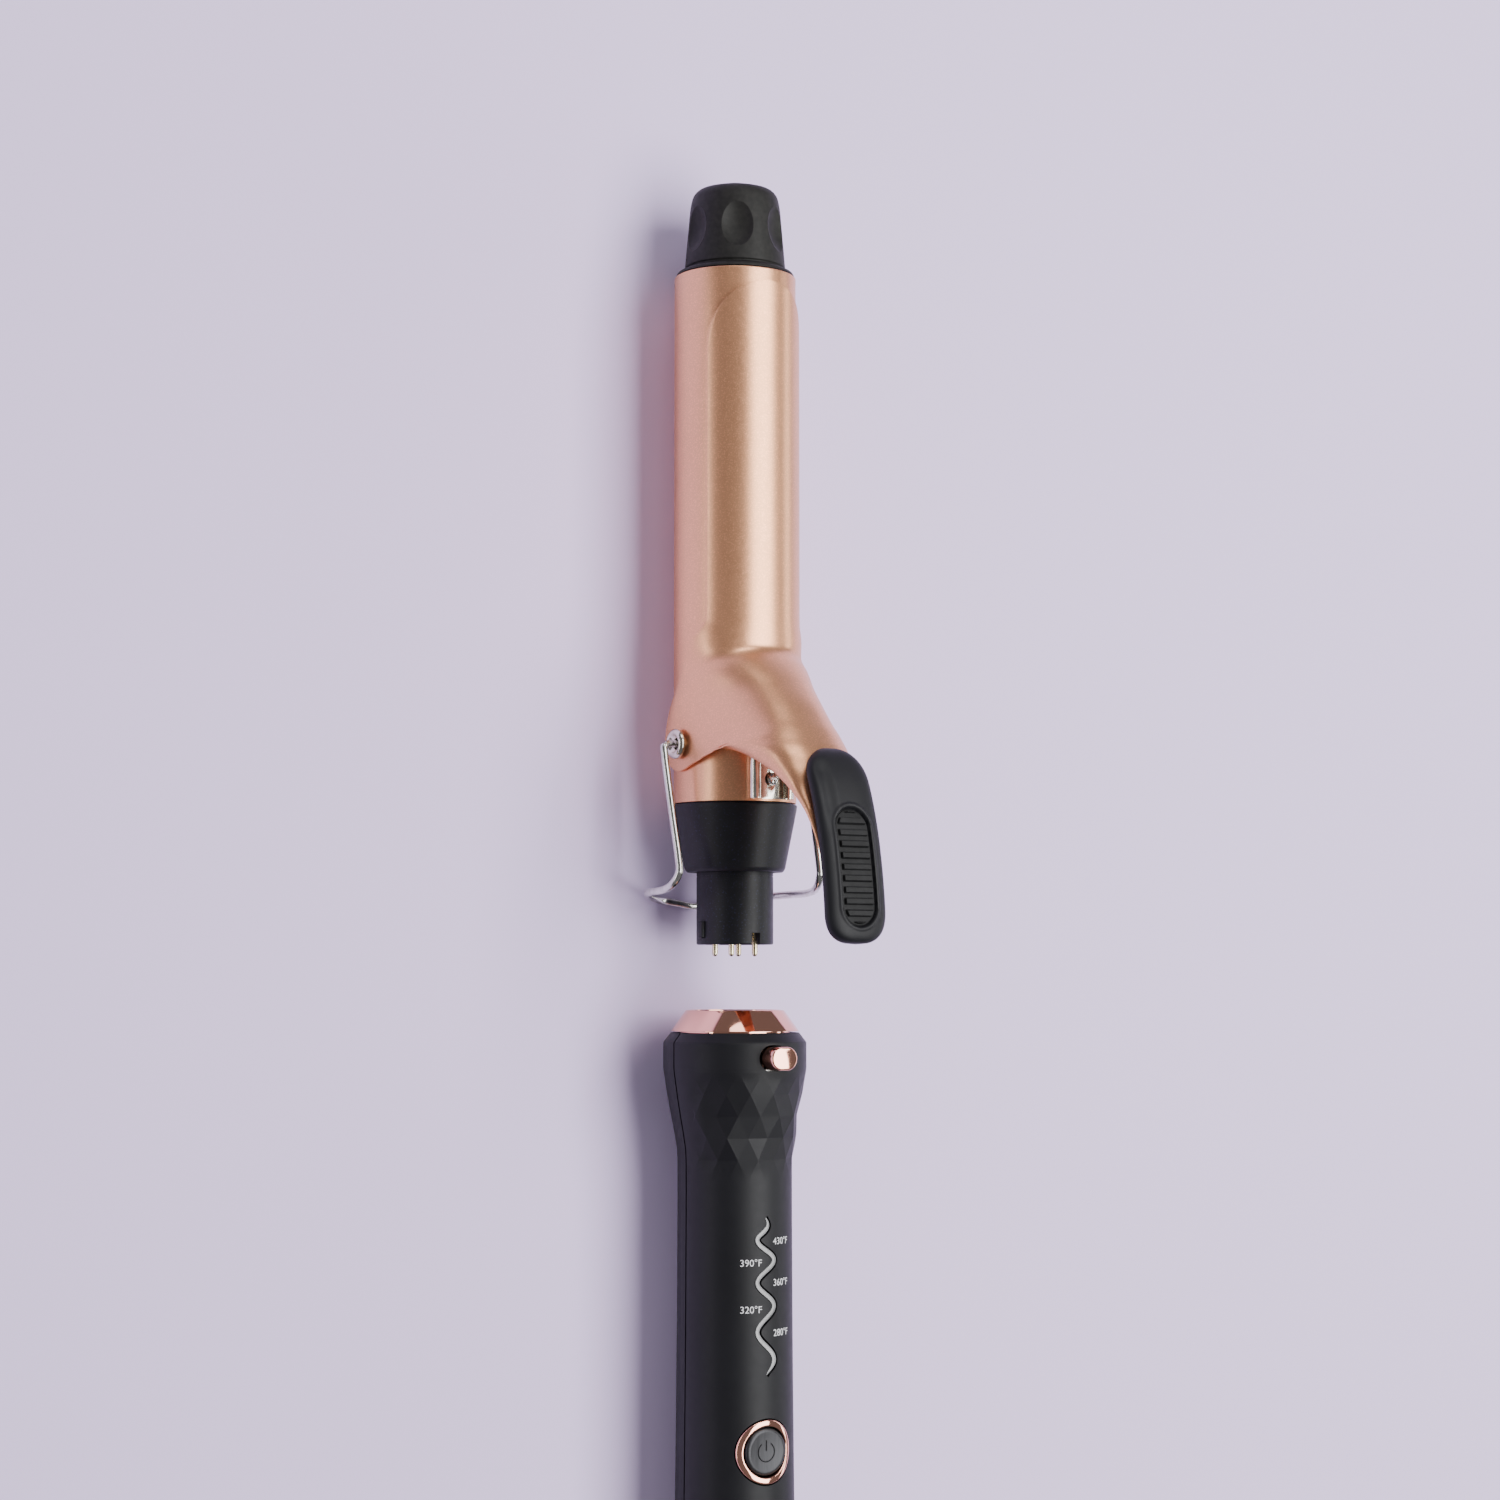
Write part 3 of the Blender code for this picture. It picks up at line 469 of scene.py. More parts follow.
def plug_tool(radius, depth, place, along="Z", sides=48):
    turn = {"Z": (0, 0, 0), "Y": (pi / 2, 0, 0), "X": (0, pi / 2, 0)}[along]
    start_clear()
    bpy.ops.mesh.primitive_cylinder_add(radius=radius * MM, depth=depth * MM, vertices=sides, location=place,
                                        rotation=turn)
    bpy.ops.object.transform_apply(location=True, rotation=True, scale=True)
    return bpy.context.object


def woven_grid(rows):
    """A grid whose points are laid on rows of places in metres."""
    start_clear()
    bpy.ops.mesh.primitive_grid_add(x_subdivisions=len(rows[0]) - 1, y_subdivisions=len(rows) - 1, size=1)
    piece = bpy.context.object
    spots = [spot for row in rows for spot in row]
    for vertex, spot in zip(piece.data.vertices, spots):
        vertex.co = spot
    return sealed(piece)


def bent_wire(points, radius, sides=6):
    start_clear()
    bpy.ops.curve.primitive_nurbs_path_add()
    piece = bpy.context.object
    curve = piece.data
    curve.splines.clear()
    spline = curve.splines.new("POLY")
    spline.points.add(len(points) - 1)
    for point, spot in zip(spline.points, points):
        point.co = (*spot, 1)
    curve.bevel_depth = radius
    curve.bevel_resolution = sides
    curve.use_fill_caps = True
    pick(piece)
    bpy.ops.object.convert(target="MESH")
    return sealed(bpy.context.object, WELD)


def through(points, per_span):
    """Points of one smooth line through a route."""
    ends = [points[0], *points, points[-1]]
    route = []
    for before, start, end, after in zip(ends, ends[1:], ends[2:], ends[3:]):
        for step in range(per_span):
            t = step / per_span
            route.append(tuple(0.5 * (2 * b + (c - a) * t + (2 * a - 5 * b + 4 * c - d) * t * t
                                      + (3 * b - a - 3 * c + d) * t ** 3)
                               for a, b, c, d in zip(before, start, end, after)))
    route.append(tuple(points[-1]))
    return route


def eased(share):
    share = min(max(share, 0), 1)
    return share * share * (3 - 2 * share)


def on_seat(x, along, up):
    """A place on the barrel attachment: across, forward of its seat and above its axis."""
    return Vector((x * MM, SEAT_Y + along * MM, AXIS_Z + up * MM))


def on_handle(x, back, up):
    """A place on the handle: across, back from the collar's top and above the axis."""
    return Vector((x * MM, COLLAR_Y - back * MM, AXIS_Z + up * MM))


AT_SEAT = on_seat(0, 0, 0)
AT_COLLAR = on_handle(0, 0, 0)


class IronOperator:
    bl_options = {"REGISTER", "UNDO"}

    def execute(self, context):
        self.make()
        return {"FINISHED"}


# Barrel attachment

class IRON_OT_barrel(IronOperator, bpy.types.Operator):
    """Turn the barrel, with a rolled edge at its end"""
    bl_idname = "iron.barrel"
    bl_label = "Barrel"

    def make(self):
        start = CONE_HEIGHT + 0.35
        outline = [(BARREL_RADIUS, BARREL_END, 0.3), (BARREL_RADIUS, start, 0.15), (BARREL_BORE, start),
                   (BARREL_BORE, BARREL_END)]
        barrel = turned(outline, AT_SEAT, steps=128)
        for side in (1, -1):
            carve(barrel, plug_tool(RIVET_BORE, 8, on_seat(side * 16, PIVOT_AT, 0), "X", 32))
        settle(barrel, "barrel_sleeve", "rose_satin", "attachment", "barrel_tube")


class IRON_OT_cool_tip(IronOperator, bpy.types.Operator):
    """Turn the cool tip, scoop its finger dimples and set its end disc"""
    bl_idname = "iron.cool_tip"
    bl_label = "Cool tip"

    def make(self):
        start = BARREL_END + 0.3
        end = TIP_TOP
        outline = [(0, end - 2.2), (6.3, end - 2.2), (6.3, end, 0.3), (9.6, end, 1.2), (11.1, end - 1.6, 1.2),
                   (11.75, end - 4.5, 2), (13.15, start + 2.5, 0.4), (12.75, start + 2.15, 0.3),
                   (12.75, start + 1.85, 0.3), (13.5, start + 1.5, 0.5), (15.2, start + 0.9, 0.5),
                   (15.5, start, 0.25), (14.7, start), (14.7, start - 6), (12.2, start - 6),
                   (11.2, start + 2), (9.0, end - 4.6), (0, end - 4.6)]
        tip = turned(outline, AT_SEAT, steps=120)
        for index in range(6):
            turn = radians(30 + 60 * index)
            centre = on_seat(19.6 * sin(turn), end - 10.6, 19.6 * cos(turn))
            start_clear()
            bpy.ops.mesh.primitive_uv_sphere_add(segments=80, ring_count=56, radius=MM, location=centre)
            tool = bpy.context.object
            tool.scale = (9.0, 10.3, 9.0)
            bpy.ops.object.transform_apply(location=True, rotation=True, scale=True)
            carve(tip, tool)
        soften_edges(tip, 0.35, 3, 14)
        settle(tip, "cool_tip_cap", "tip_plastic", "attachment", "cool_tip", angle=24)
        disc = [(0, DISC_TOP), (4.9, DISC_TOP, 0.8), (5.9, DISC_TOP - 1.0, 0.4), (5.9, end - 1.8),
                (0, end - 1.8)]
        settle(turned(disc, AT_SEAT), "tip_end_button", "grey_plastic", "attachment", "tip_end_disc")


class IRON_OT_base(IronOperator, bpy.types.Operator):
    """Turn the base cone and the plug, with its keys and notches, and seat the contact pins"""
    bl_idname = "iron.base"
    bl_label = "Base and plug"

    def make(self):
        cone = [(14.7, 21, 0.3), (14.7, CONE_HEIGHT), (16.1, CONE_HEIGHT, 0.35),
                (16.0, CONE_HEIGHT - 1.1, 0.2), (13.0, 0.9, 0.35), (12.4, 0, 0.3),
                (PLUG_RADIUS + 0.35, 0, 0.2), (PLUG_RADIUS + 0.35, 10.2), (13.2, 14), (13.2, 21)]
        settle(turned(cone, AT_SEAT), "cone_housing", "black_plastic", "attachment", "base_cone")
        self.plug()
        self.pins()

    def plug(self):
        rim = -PLUG_LENGTH
        outline = [(12.8, 17), (12.8, 14.2), (PLUG_RADIUS, 10.4), (PLUG_RADIUS, rim, 0.45), (8.3, rim, 0.25),
                   (8.3, 17)]
        plug = turned(outline, AT_SEAT)
        for side in (-1, 1):
            key = block((2, 4.4, 2), on_seat(side * 9.7, -14.8, 0))
            soften_edges(key, 0.35)
            carve(plug, key, "UNION")
        carve(plug, block((2.6, 6, 30), on_seat(0, rim, 0)))
        score = turned([(10.4, -1.0), (10.4, -1.25), (9.78, -1.25), (9.78, -1.0)], AT_SEAT)
        carve(plug, score)
        settle(plug, "plug_sleeve", "black_plastic", "attachment", "plug_body")

    def pins(self):
        base = turned([(0, -10), (7.95, -10), (7.95, -15, 0.3), (0, -15)], AT_SEAT)
        reach = -PLUG_LENGTH - 3.1
        for index in range(4):
            turn = radians(43 + 90 * index)
            x, z = PIN_CIRCLE * cos(turn), PIN_CIRCLE * sin(turn)
            carve(base, plug_tool(PIN_RADIUS + 0.3, 12, on_seat(x, -12, z), "Y", 24))
            outline = [(0, -6), (PIN_RADIUS, -6, 0.1), (PIN_RADIUS, -13.0), (PIN_RADIUS, reach + 0.9, 0.2),
                       (PIN_RADIUS * 0.8, reach + 0.3, 0.3), (0, reach)]
            pin = turned(outline, on_seat(x, 0, z), steps=32)
            settle(pin, f"socket_pin_{index + 1}", "brass", "attachment", f"contact_pin_{index + 1}")
        settle(base, "pin_carrier", "black_plastic", "attachment", "pin_base")


class IRON_OT_eyelets(IronOperator, bpy.types.Operator):
    """Turn the dished eyelets that the clip and the stand hang on"""
    bl_idname = "iron.eyelets"
    bl_label = "Eyelets"

    def make(self):
        outline = [(1.35, 13.6), (1.35, 17.9, 0.4), (2.0, 18.35, 0.3), (2.5, 19.0, 0.4), (3.2, 19.05, 0.4),
                   (3.9, 18.4, 0.4), (3.9, 17.6, 0.2), (2.0, 17.4), (2.0, 14.6), (2.9, 14.4, 0.2),
                   (2.9, 13.6, 0.2)]
        for name, along in (("left", "-X"), ("right", "X")):
            eyelet = turned(outline, on_seat(0, PIVOT_AT, 0), along, 64)
            settle(eyelet, f"eyelet_{name}", "nickel", "attachment", f"pivot_rivet_{name}")


class IRON_OT_bracket(IronOperator, bpy.types.Operator):
    """Press the spring bracket's saddle, roll its lips and drive its cross-head screw"""
    bl_idname = "iron.bracket"
    bl_label = "Spring bracket"

    def make(self):
        rows = []
        for along in (29.4, 28.9, 24, 18.7, 18.2):
            rows.append([on_seat(x, along, z) for x, z in self.section()])
        saddle = woven_grid(rows)
        apply_step(saddle, "SOLIDIFY", thickness=0.7 * MM, offset=0)
        carve(saddle, plug_tool(1.4, 6, on_seat(0, 23.2, 16), "Z", 32))
        soften_edges(saddle, 0.14, 2, 40)
        settle(saddle, "spring_saddle", "nickel", "attachment", "spring_bracket")
        head = [(0, 18.5), (1.0, 18.4, 0.3), (1.6, 18.0, 0.3), (1.6, 17.4, 0.1), (1.0, 17.35), (1.0, 13.4),
                (0, 13.4)]
        screw = turned(head, on_seat(0, 23.2, 0), "Z", 48)
        for size in ((2.1, 0.45, 1), (0.45, 2.1, 1)):
            carve(screw, block(size, on_seat(0, 23.2, 18.6)))
        settle(screw, "saddle_screw", "steel", "attachment", "bracket_screw")

    def section(self):
        """Across the saddle: a rolled lip, the plate along the barrel, and the other lip."""
        sheet, curl, reach = 16.6, 1.2, 16
        plate = []
        for step in range(13):
            turn = radians(reach * (step / 6 - 1))
            plate.append((sheet * sin(turn), sheet * cos(turn)))
        centre_x, centre_z = (sheet + curl) * sin(radians(reach)), (sheet + curl) * cos(radians(reach))
        right = []
        for step in range(1, 17):
            turn = radians(-90 - reach + 232 * step / 16)
            right.append((centre_x + curl * cos(turn), centre_z + curl * sin(turn)))
        return [(-x, z) for x, z in right[::-1]] + plate + right


# Clip

LEVER_SECTIONS = (
    ((64.0, 16.5), (63.5, 8.2, 14.4)),
    ((60.0, 16.5), (59.0, 5.0, 16.5)),
    ((57.2, 16.6), (52.5, 1.5, 16.6)),
    ((55.4, 17.6), (46.5, -2.0, 16.6)),
    ((53.0, 20.0), (41.0, -5.2, 16.6)),
    ((50.0, 22.8), (36.6, -6.6, 16.6)),
    ((46.8, 25.6), (32.2, -7.0, 16.6)),
    ((43.6, 28.4), (28.4, -5.5, 16.6)),
    ((41.2, 30.4), (26.4, -3.4, 16.6)),
    ((39.0, 32.1), (25.6, -0.6, 16.6)),
    ((37.0, 33.6), (26.0, 2.4, 16.6)),
    ((35.2, 35.0), (27.4, 5.2, 16.5)),
    ((33.4, 36.3), (29.2, 8.4, 16.2)),
    ((31.6, 37.6), (30.5, 12.4, 15.5)),
    ((29.8, 38.9), (30.7, 17.2, 14.7)),
    ((27.8, 40.1), (29.5, 22.6, 13.6)),
    ((25.6, 41.1), (27.0, 28.6, 12.2)),
    ((22.8, 42.3), (23.6, 34.4, 10.7)),
    ((19.0, 43.5), (19.2, 39.4, 9.2)),
    ((14.0, 45.8), (14.0, 43.8, 8.0)),
    ((8.0, 47.6), (8.0, 46.8, 7.1)),
    ((2.0, 48.6), (2.0, 48.1, 6.0)),
)


class IRON_OT_clip(IronOperator, bpy.types.Operator):
    """Press the clip from one sheet: the blade on the barrel, the domed lever and its two ears"""
    bl_idname = "iron.clip"
    bl_label = "Clip"
    half_steps = 14

    def make(self):
        rows = self.blade() + self.lever()
        sheet = woven_grid(rows)
        apply_step(sheet, "SOLIDIFY", thickness=SHEET * MM, offset=0)
        soften_edges(sheet, 0.2, 2, 50)
        carve(sheet, plug_tool(RIVET_BORE, 60, on_seat(0, PIVOT_AT, 0), "X", 48))
        settle(sheet, "clip_sheet", "rose_satin", "clip", "clip_plate", angle=40)

    def blade(self):
        rows = []
        rounding = 19.0
        for step in range(25):
            turn = radians(90 * step / 24)
            along = CLIP_END - rounding * (1 - cos(turn))
            rows.append(self.blade_row(along, CLIP_ANGLE * max(sin(turn), 0.03)))
        body = CLIP_END - rounding
        run = LEVER_SECTIONS[0][0][0] + 3 - body
        for step in range(1, 13):
            rows.append(self.blade_row(body + run * step / 12, CLIP_ANGLE))
        return rows

    def blade_row(self, along, angle):
        steps = range(-self.half_steps, self.half_steps + 1)
        turns = [radians(angle * step / self.half_steps) for step in steps]
        return [on_seat(CLIP_RADIUS * sin(turn), along, CLIP_RADIUS * cos(turn)) for turn in turns]

    def lever(self):
        stations = through([(*top, *edge) for top, edge in LEVER_SECTIONS], 4)
        rows = []
        for station in stations:
            half = [self.lever_point(station, step / self.half_steps) for step in range(self.half_steps + 1)]
            row = [(-x, y, z) for x, y, z in half[:0:-1]] + half
            rows.append([on_seat(*spot) for spot in row])
        return rows

    def lever_point(self, station, share):
        """From the middle line out to the edge, kept off the barrel by the sheet's own radius."""
        top_y, top_z, edge_y, edge_z, edge_x = station
        turn = share * pi / 2
        drop = 1 - max(cos(turn), 0) ** 0.8
        x = edge_x * sin(turn) ** 0.75
        y = top_y + (edge_y - top_y) * drop
        z = top_z + (edge_z - top_z) * drop
        round_turn = atan2(edge_x, edge_z) * share
        round_reach = top_z + (sqrt(edge_x ** 2 + edge_z ** 2) - top_z) * share ** 2
        domed = eased((61 - top_y) / 13)
        x = round_reach * sin(round_turn) * (1 - domed) + x * domed
        z = round_reach * cos(round_turn) * (1 - domed) + z * domed
        reach = sqrt(x * x + z * z)
        if reach < CLIP_RADIUS:
            x, z = x * CLIP_RADIUS / reach, z * CLIP_RADIUS / reach
        return x, y, z


# The thumb rest's middle line: (along, up)
THUMB_LINE = ((28.6, 41.6), (26.5, 43.7), (20.0, 47.2), (10.0, 50.4), (0.0, 52.4), (-10.0, 53.6),
              (-19.0, 53.8))
THUMB_HALF = (8.7, 2.5)
PAD_LENGTH = 28.2
PAD_WIDTH = 9.6
PAD_CENTRE = -0.5
RIB_PITCH = 2.76


def swell(distance, reach, power=2.6):
    """How full a round end is, at a distance in from it."""
    inward = min(max(distance / reach, 0), 1)
    return (1 - (1 - inward) ** power) ** (1 / power)


def thumb_frame(ahead):
    """Where the bent thumb rest's middle line is at one place along it, and which way its thickness goes."""
    line = through(THUMB_LINE, 12)
    for start, end in zip(line, line[1:]):
        if start[0] >= ahead >= end[0]:
            share = (start[0] - ahead) / (start[0] - end[0])
            up = start[1] + (end[1] - start[1]) * share
            way = Vector((0, start[0] - end[0], start[1] - end[1])).normalized()
            return on_seat(0, ahead, up), Vector((0, -way.z, way.y))
    raise ValueError("off the thumb rest")


def pad_depth(x, ahead):
    """How far a point lies inside the pad's round-ended outline."""
    over = max(abs(ahead - PAD_CENTRE) - (PAD_LENGTH - PAD_WIDTH) / 2, 0)
    return PAD_WIDTH / 2 - sqrt(x * x + over * over)


class IRON_OT_thumb_rest(IronOperator, bpy.types.Operator):
    """Mould the thumb rest on the lever's end, with its sunk pocket, and lay the ribbed pad in it"""
    bl_idname = "iron.thumb_rest"
    bl_label = "Thumb rest"

    def make(self):
        first, last = THUMB_LINE[0][0], THUMB_LINE[-1][0]
        rest = self.bar(first, last, 200, self.rest_top, self.rest_half)
        settle(rest, "thumb_lever_rest", "soft_black", "clip", "thumb_rest", angle=50)
        half = PAD_LENGTH / 2
        pad = self.bar(PAD_CENTRE + half, PAD_CENTRE - half, 180, self.pad_top, self.pad_half)
        settle(pad, "ribbed_thumb_pad", "rubber", "clip", "thumb_pad", angle=50)

    def bar(self, first, last, steps, top, half):
        """A bar of closed sections along the middle line, its upper side shaped by top(x, ahead)."""
        rows = []
        for step in range(steps + 1):
            ahead = first + (last - first) * step / steps
            ahead = min(max(ahead, THUMB_LINE[-1][0] + 0.001), THUMB_LINE[0][0] - 0.001)
            origin, rise = thumb_frame(ahead)
            wide, under = half(min(first - ahead, ahead - last))
            row = []
            for index in range(81):
                x = wide * cos(pi * index / 80)
                row.append((x, top(x, ahead, abs(x) / wide)))
            for index in range(1, 25):
                turn = pi + pi * index / 24
                row.append((wide * cos(turn), under(sin(turn))))
            rows.append([origin + (Vector((x, 0, 0)) + rise * z) * MM for x, z in row])
        rows[0] = [sum(rows[0], Vector()) / len(rows[0])] * len(rows[0])
        rows[-1] = [sum(rows[-1], Vector()) / len(rows[-1])] * len(rows[-1])
        return sealed(woven_grid(rows), 0.003)

    def rest_half(self, distance):
        wide = THUMB_HALF[0] * max(swell(distance, 8.5), 0.05)
        thick = THUMB_HALF[1] * max(swell(distance, 4), 0.05)
        return wide, lambda height: -thick * abs(height) ** 0.6

    def rest_top(self, x, ahead, share):
        distance = min(THUMB_LINE[0][0] - ahead, ahead - THUMB_LINE[-1][0])
        thick = THUMB_HALF[1] * max(swell(distance, 4), 0.05)
        height = thick * (1 - min(share, 1) ** 3.4) ** 0.5
        inside = pad_depth(x, ahead) + 0.3
        height += 0.22 * eased(1 - abs(inside + 0.5) / 0.6) - 1.25 * eased(inside / 0.35)
        valley = eased(1 - abs(x + 5.4) / 2.6) * eased((ahead - 6) / 9) * eased((26 - ahead) / 4)
        return height - 0.55 * valley

    def pad_half(self, distance):
        wide = max(sqrt(max((PAD_WIDTH / 2) ** 2 - max(PAD_WIDTH / 2 - distance, 0) ** 2, 0)), 0.05)
        return wide, lambda height: 1.35

    def pad_top(self, x, ahead, share):
        inside = pad_depth(x, ahead)
        ribs = 0.5 + 0.5 * cos(2 * pi * (ahead - PAD_CENTRE) / RIB_PITCH)
        rib = eased((ribs - 0.34) / 0.3) * eased((inside - 0.5) / 0.3)
        return 1.45 + 0.15 * eased(inside / 0.3) + 0.75 * rib


# The stand's near leg, from its hook in the eyelet: (across, forward of the pivot, up)
STAND_LEG = ((14.9, 0, 0), (19.6, 0, 0), (21.3, -0.6, 0.2), (21.8, -2.4, 0.6), (21.7, -16, 3.8),
             (21.5, -30, 7.2), (21.6, -33.5, 7.2), (22.2, -36.2, 4.8), (22.5, -37.4, 1.0))
STAND_HALF = 22.5
STAND_DROP = 20.6
STAND_REACH = 37.6
STAND_BOW = 3.2
WIRE_RADIUS = 1.0
WIDEST = 22.48
LOWEST = -20.55


class IRON_OT_stand(IronOperator, bpy.types.Operator):
    """Bend the wire stand: hooked into both eyelets and bowed under the base"""
    bl_idname = "iron.stand"
    bl_label = "Wire stand"

    def make(self):
        side = list(STAND_LEG)
        for index in range(1, 8):
            turn = radians(90 - 11.25 * index)
            drop = min(STAND_HALF * cos(turn), STAND_DROP)
            side.append((STAND_HALF * sin(turn), -STAND_REACH - STAND_BOW * (1 - sin(turn)), -drop))
        middle = (0, -STAND_REACH - STAND_BOW, -STAND_DROP)
        route = side + [middle] + [(-x, y, z) for x, y, z in side[::-1]]
        points = []
        for x, y, z in through(route, 5):
            points.append(on_seat(min(max(x, -WIDEST), WIDEST), PIVOT_AT + y, max(z, LOWEST)))
        wire = bent_wire(points, WIRE_RADIUS * MM, 4)
        settle(wire, "bail_stand", "steel", "stand", "wire_stand", angle=60)


# Handle

class IRON_OT_collar(IronOperator, bpy.types.Operator):
    """Turn the polished collar ring"""
    bl_idname = "iron.collar"
    bl_label = "Collar"

    def make(self):
        outline = [(12.6, 0, 0.25), (16.5, -5.4, 0.2), (14.1, -5.4), (14.1, -9), (11.9, -9), (11.9, 0, 0.2)]
        collar = turned(outline, AT_COLLAR, steps=128)
        settle(collar, "polished_collar", "rose_mirror", "handle", "collar_ring")


SHELL_OUTLINE = ((16.5, 5.8), (18.4, 8.2), (18.4, 15.0), (17.4, 21.2), (16.5, 26.3), (15.3, 32.5),
                 (14.7, 38.7), (14.7, 62.0), (14.85, 90.0), (15.2, 126.0), (15.6, 152.0))
RELIEF_TOP = 15.6
RELIEF_ROWS = 5
ROW_HEIGHT = 5.5
FACETS_ROUND = 18
FACET_FINE = 6


def shell_radius(back):
    """The grip's outside radius, on one smooth line past its shoulder."""
    line = through([(at, radius) for radius, at in SHELL_OUTLINE[2:]], 10)
    if back <= SHELL_OUTLINE[2][1]:
        for (radius, at), (after, further) in zip(SHELL_OUTLINE, SHELL_OUTLINE[1:]):
            if at <= back <= further:
                return radius + (after - radius) * (back - at) / (further - at)
    for (at, radius), (further, after) in zip(line, line[1:]):
        if at <= back <= further:
            return radius + (after - radius) * (back - at) / (further - at)
    return SHELL_OUTLINE[-1][0]


def facet_corner(column, row):
    """A corner of the faceted band, counted in half facets round the grip."""
    depth = bpy.context.scene.iron_handle.relief / MM
    mark = (column * 7 + row * 11) % 5
    radius = shell_radius(RELIEF_TOP + row * ROW_HEIGHT) + depth * (mark - 2) / 2
    if row in (0, RELIEF_ROWS):
        radius = shell_radius(RELIEF_TOP + row * ROW_HEIGHT)
    turn = pi * column / FACETS_ROUND
    return Vector((radius * cos(turn), RELIEF_TOP + row * ROW_HEIGHT, radius * sin(turn)))


def facet_radius(turn, back):
    """Where the faceted band's flat triangle lies in one direction, or None outside it."""
    across = turn / (pi / FACETS_ROUND)
    row = int((back - RELIEF_TOP) // ROW_HEIGHT)
    if not 0 <= row < RELIEF_ROWS:
        return None
    down = (back - RELIEF_TOP) / ROW_HEIGHT - row
    shift = row % 2
    cell = int((across - shift) // 2) * 2 + shift
    local = (across - cell) / 2
    if local < 0.5 * down:
        corners = ((cell, row), (cell - 1, row + 1), (cell + 1, row + 1))
    elif local > 1 - 0.5 * down:
        corners = ((cell + 2, row), (cell + 1, row + 1), (cell + 3, row + 1))
    else:
        corners = ((cell, row), (cell + 2, row), (cell + 1, row + 1))
    if min(column for column, _ in corners) < 1 or max(column for column, _ in corners) > FACETS_ROUND - 1:
        return None
    one, two, three = (facet_corner(*corner) for corner in corners)
    normal = (two - one).cross(three - one)
    toward = normal.x * cos(turn) + normal.z * sin(turn)
    return (normal.dot(one) - normal.y * back) / toward


def wave(share):
    """How far the light strip swings aside at a share of its length."""
    turns = 8.2 * share - 1.6 * share ** 2 - 0.62
    return 2.5 * min(1, share / 0.12) * -sin(pi * turns)


def strip_rows(extra, levels, steps=96):
    """Rows across the wavy strip, each row going over the given (share of half width, height) levels."""
    rows = []
    for index in range(steps + 1):
        share = index / steps
        slope = (wave(share + 0.005) - wave(share - 0.005)) / (0.01 * STRIP_LENGTH)
        length = sqrt(1 + slope ** 2)
        half = 0.65 * min(1, 0.25 + share / 0.1, 0.25 + (1 - share) / 0.1) + extra
        back = STRIP_START + STRIP_LENGTH * share + extra * ((index == steps) - (index == 0))
        row = []
        for side, height in levels:
            x = wave(share) + side * half / length
            row.append(on_handle(x, back - side * half * slope / length, height))
        rows.append(row)
    return rows


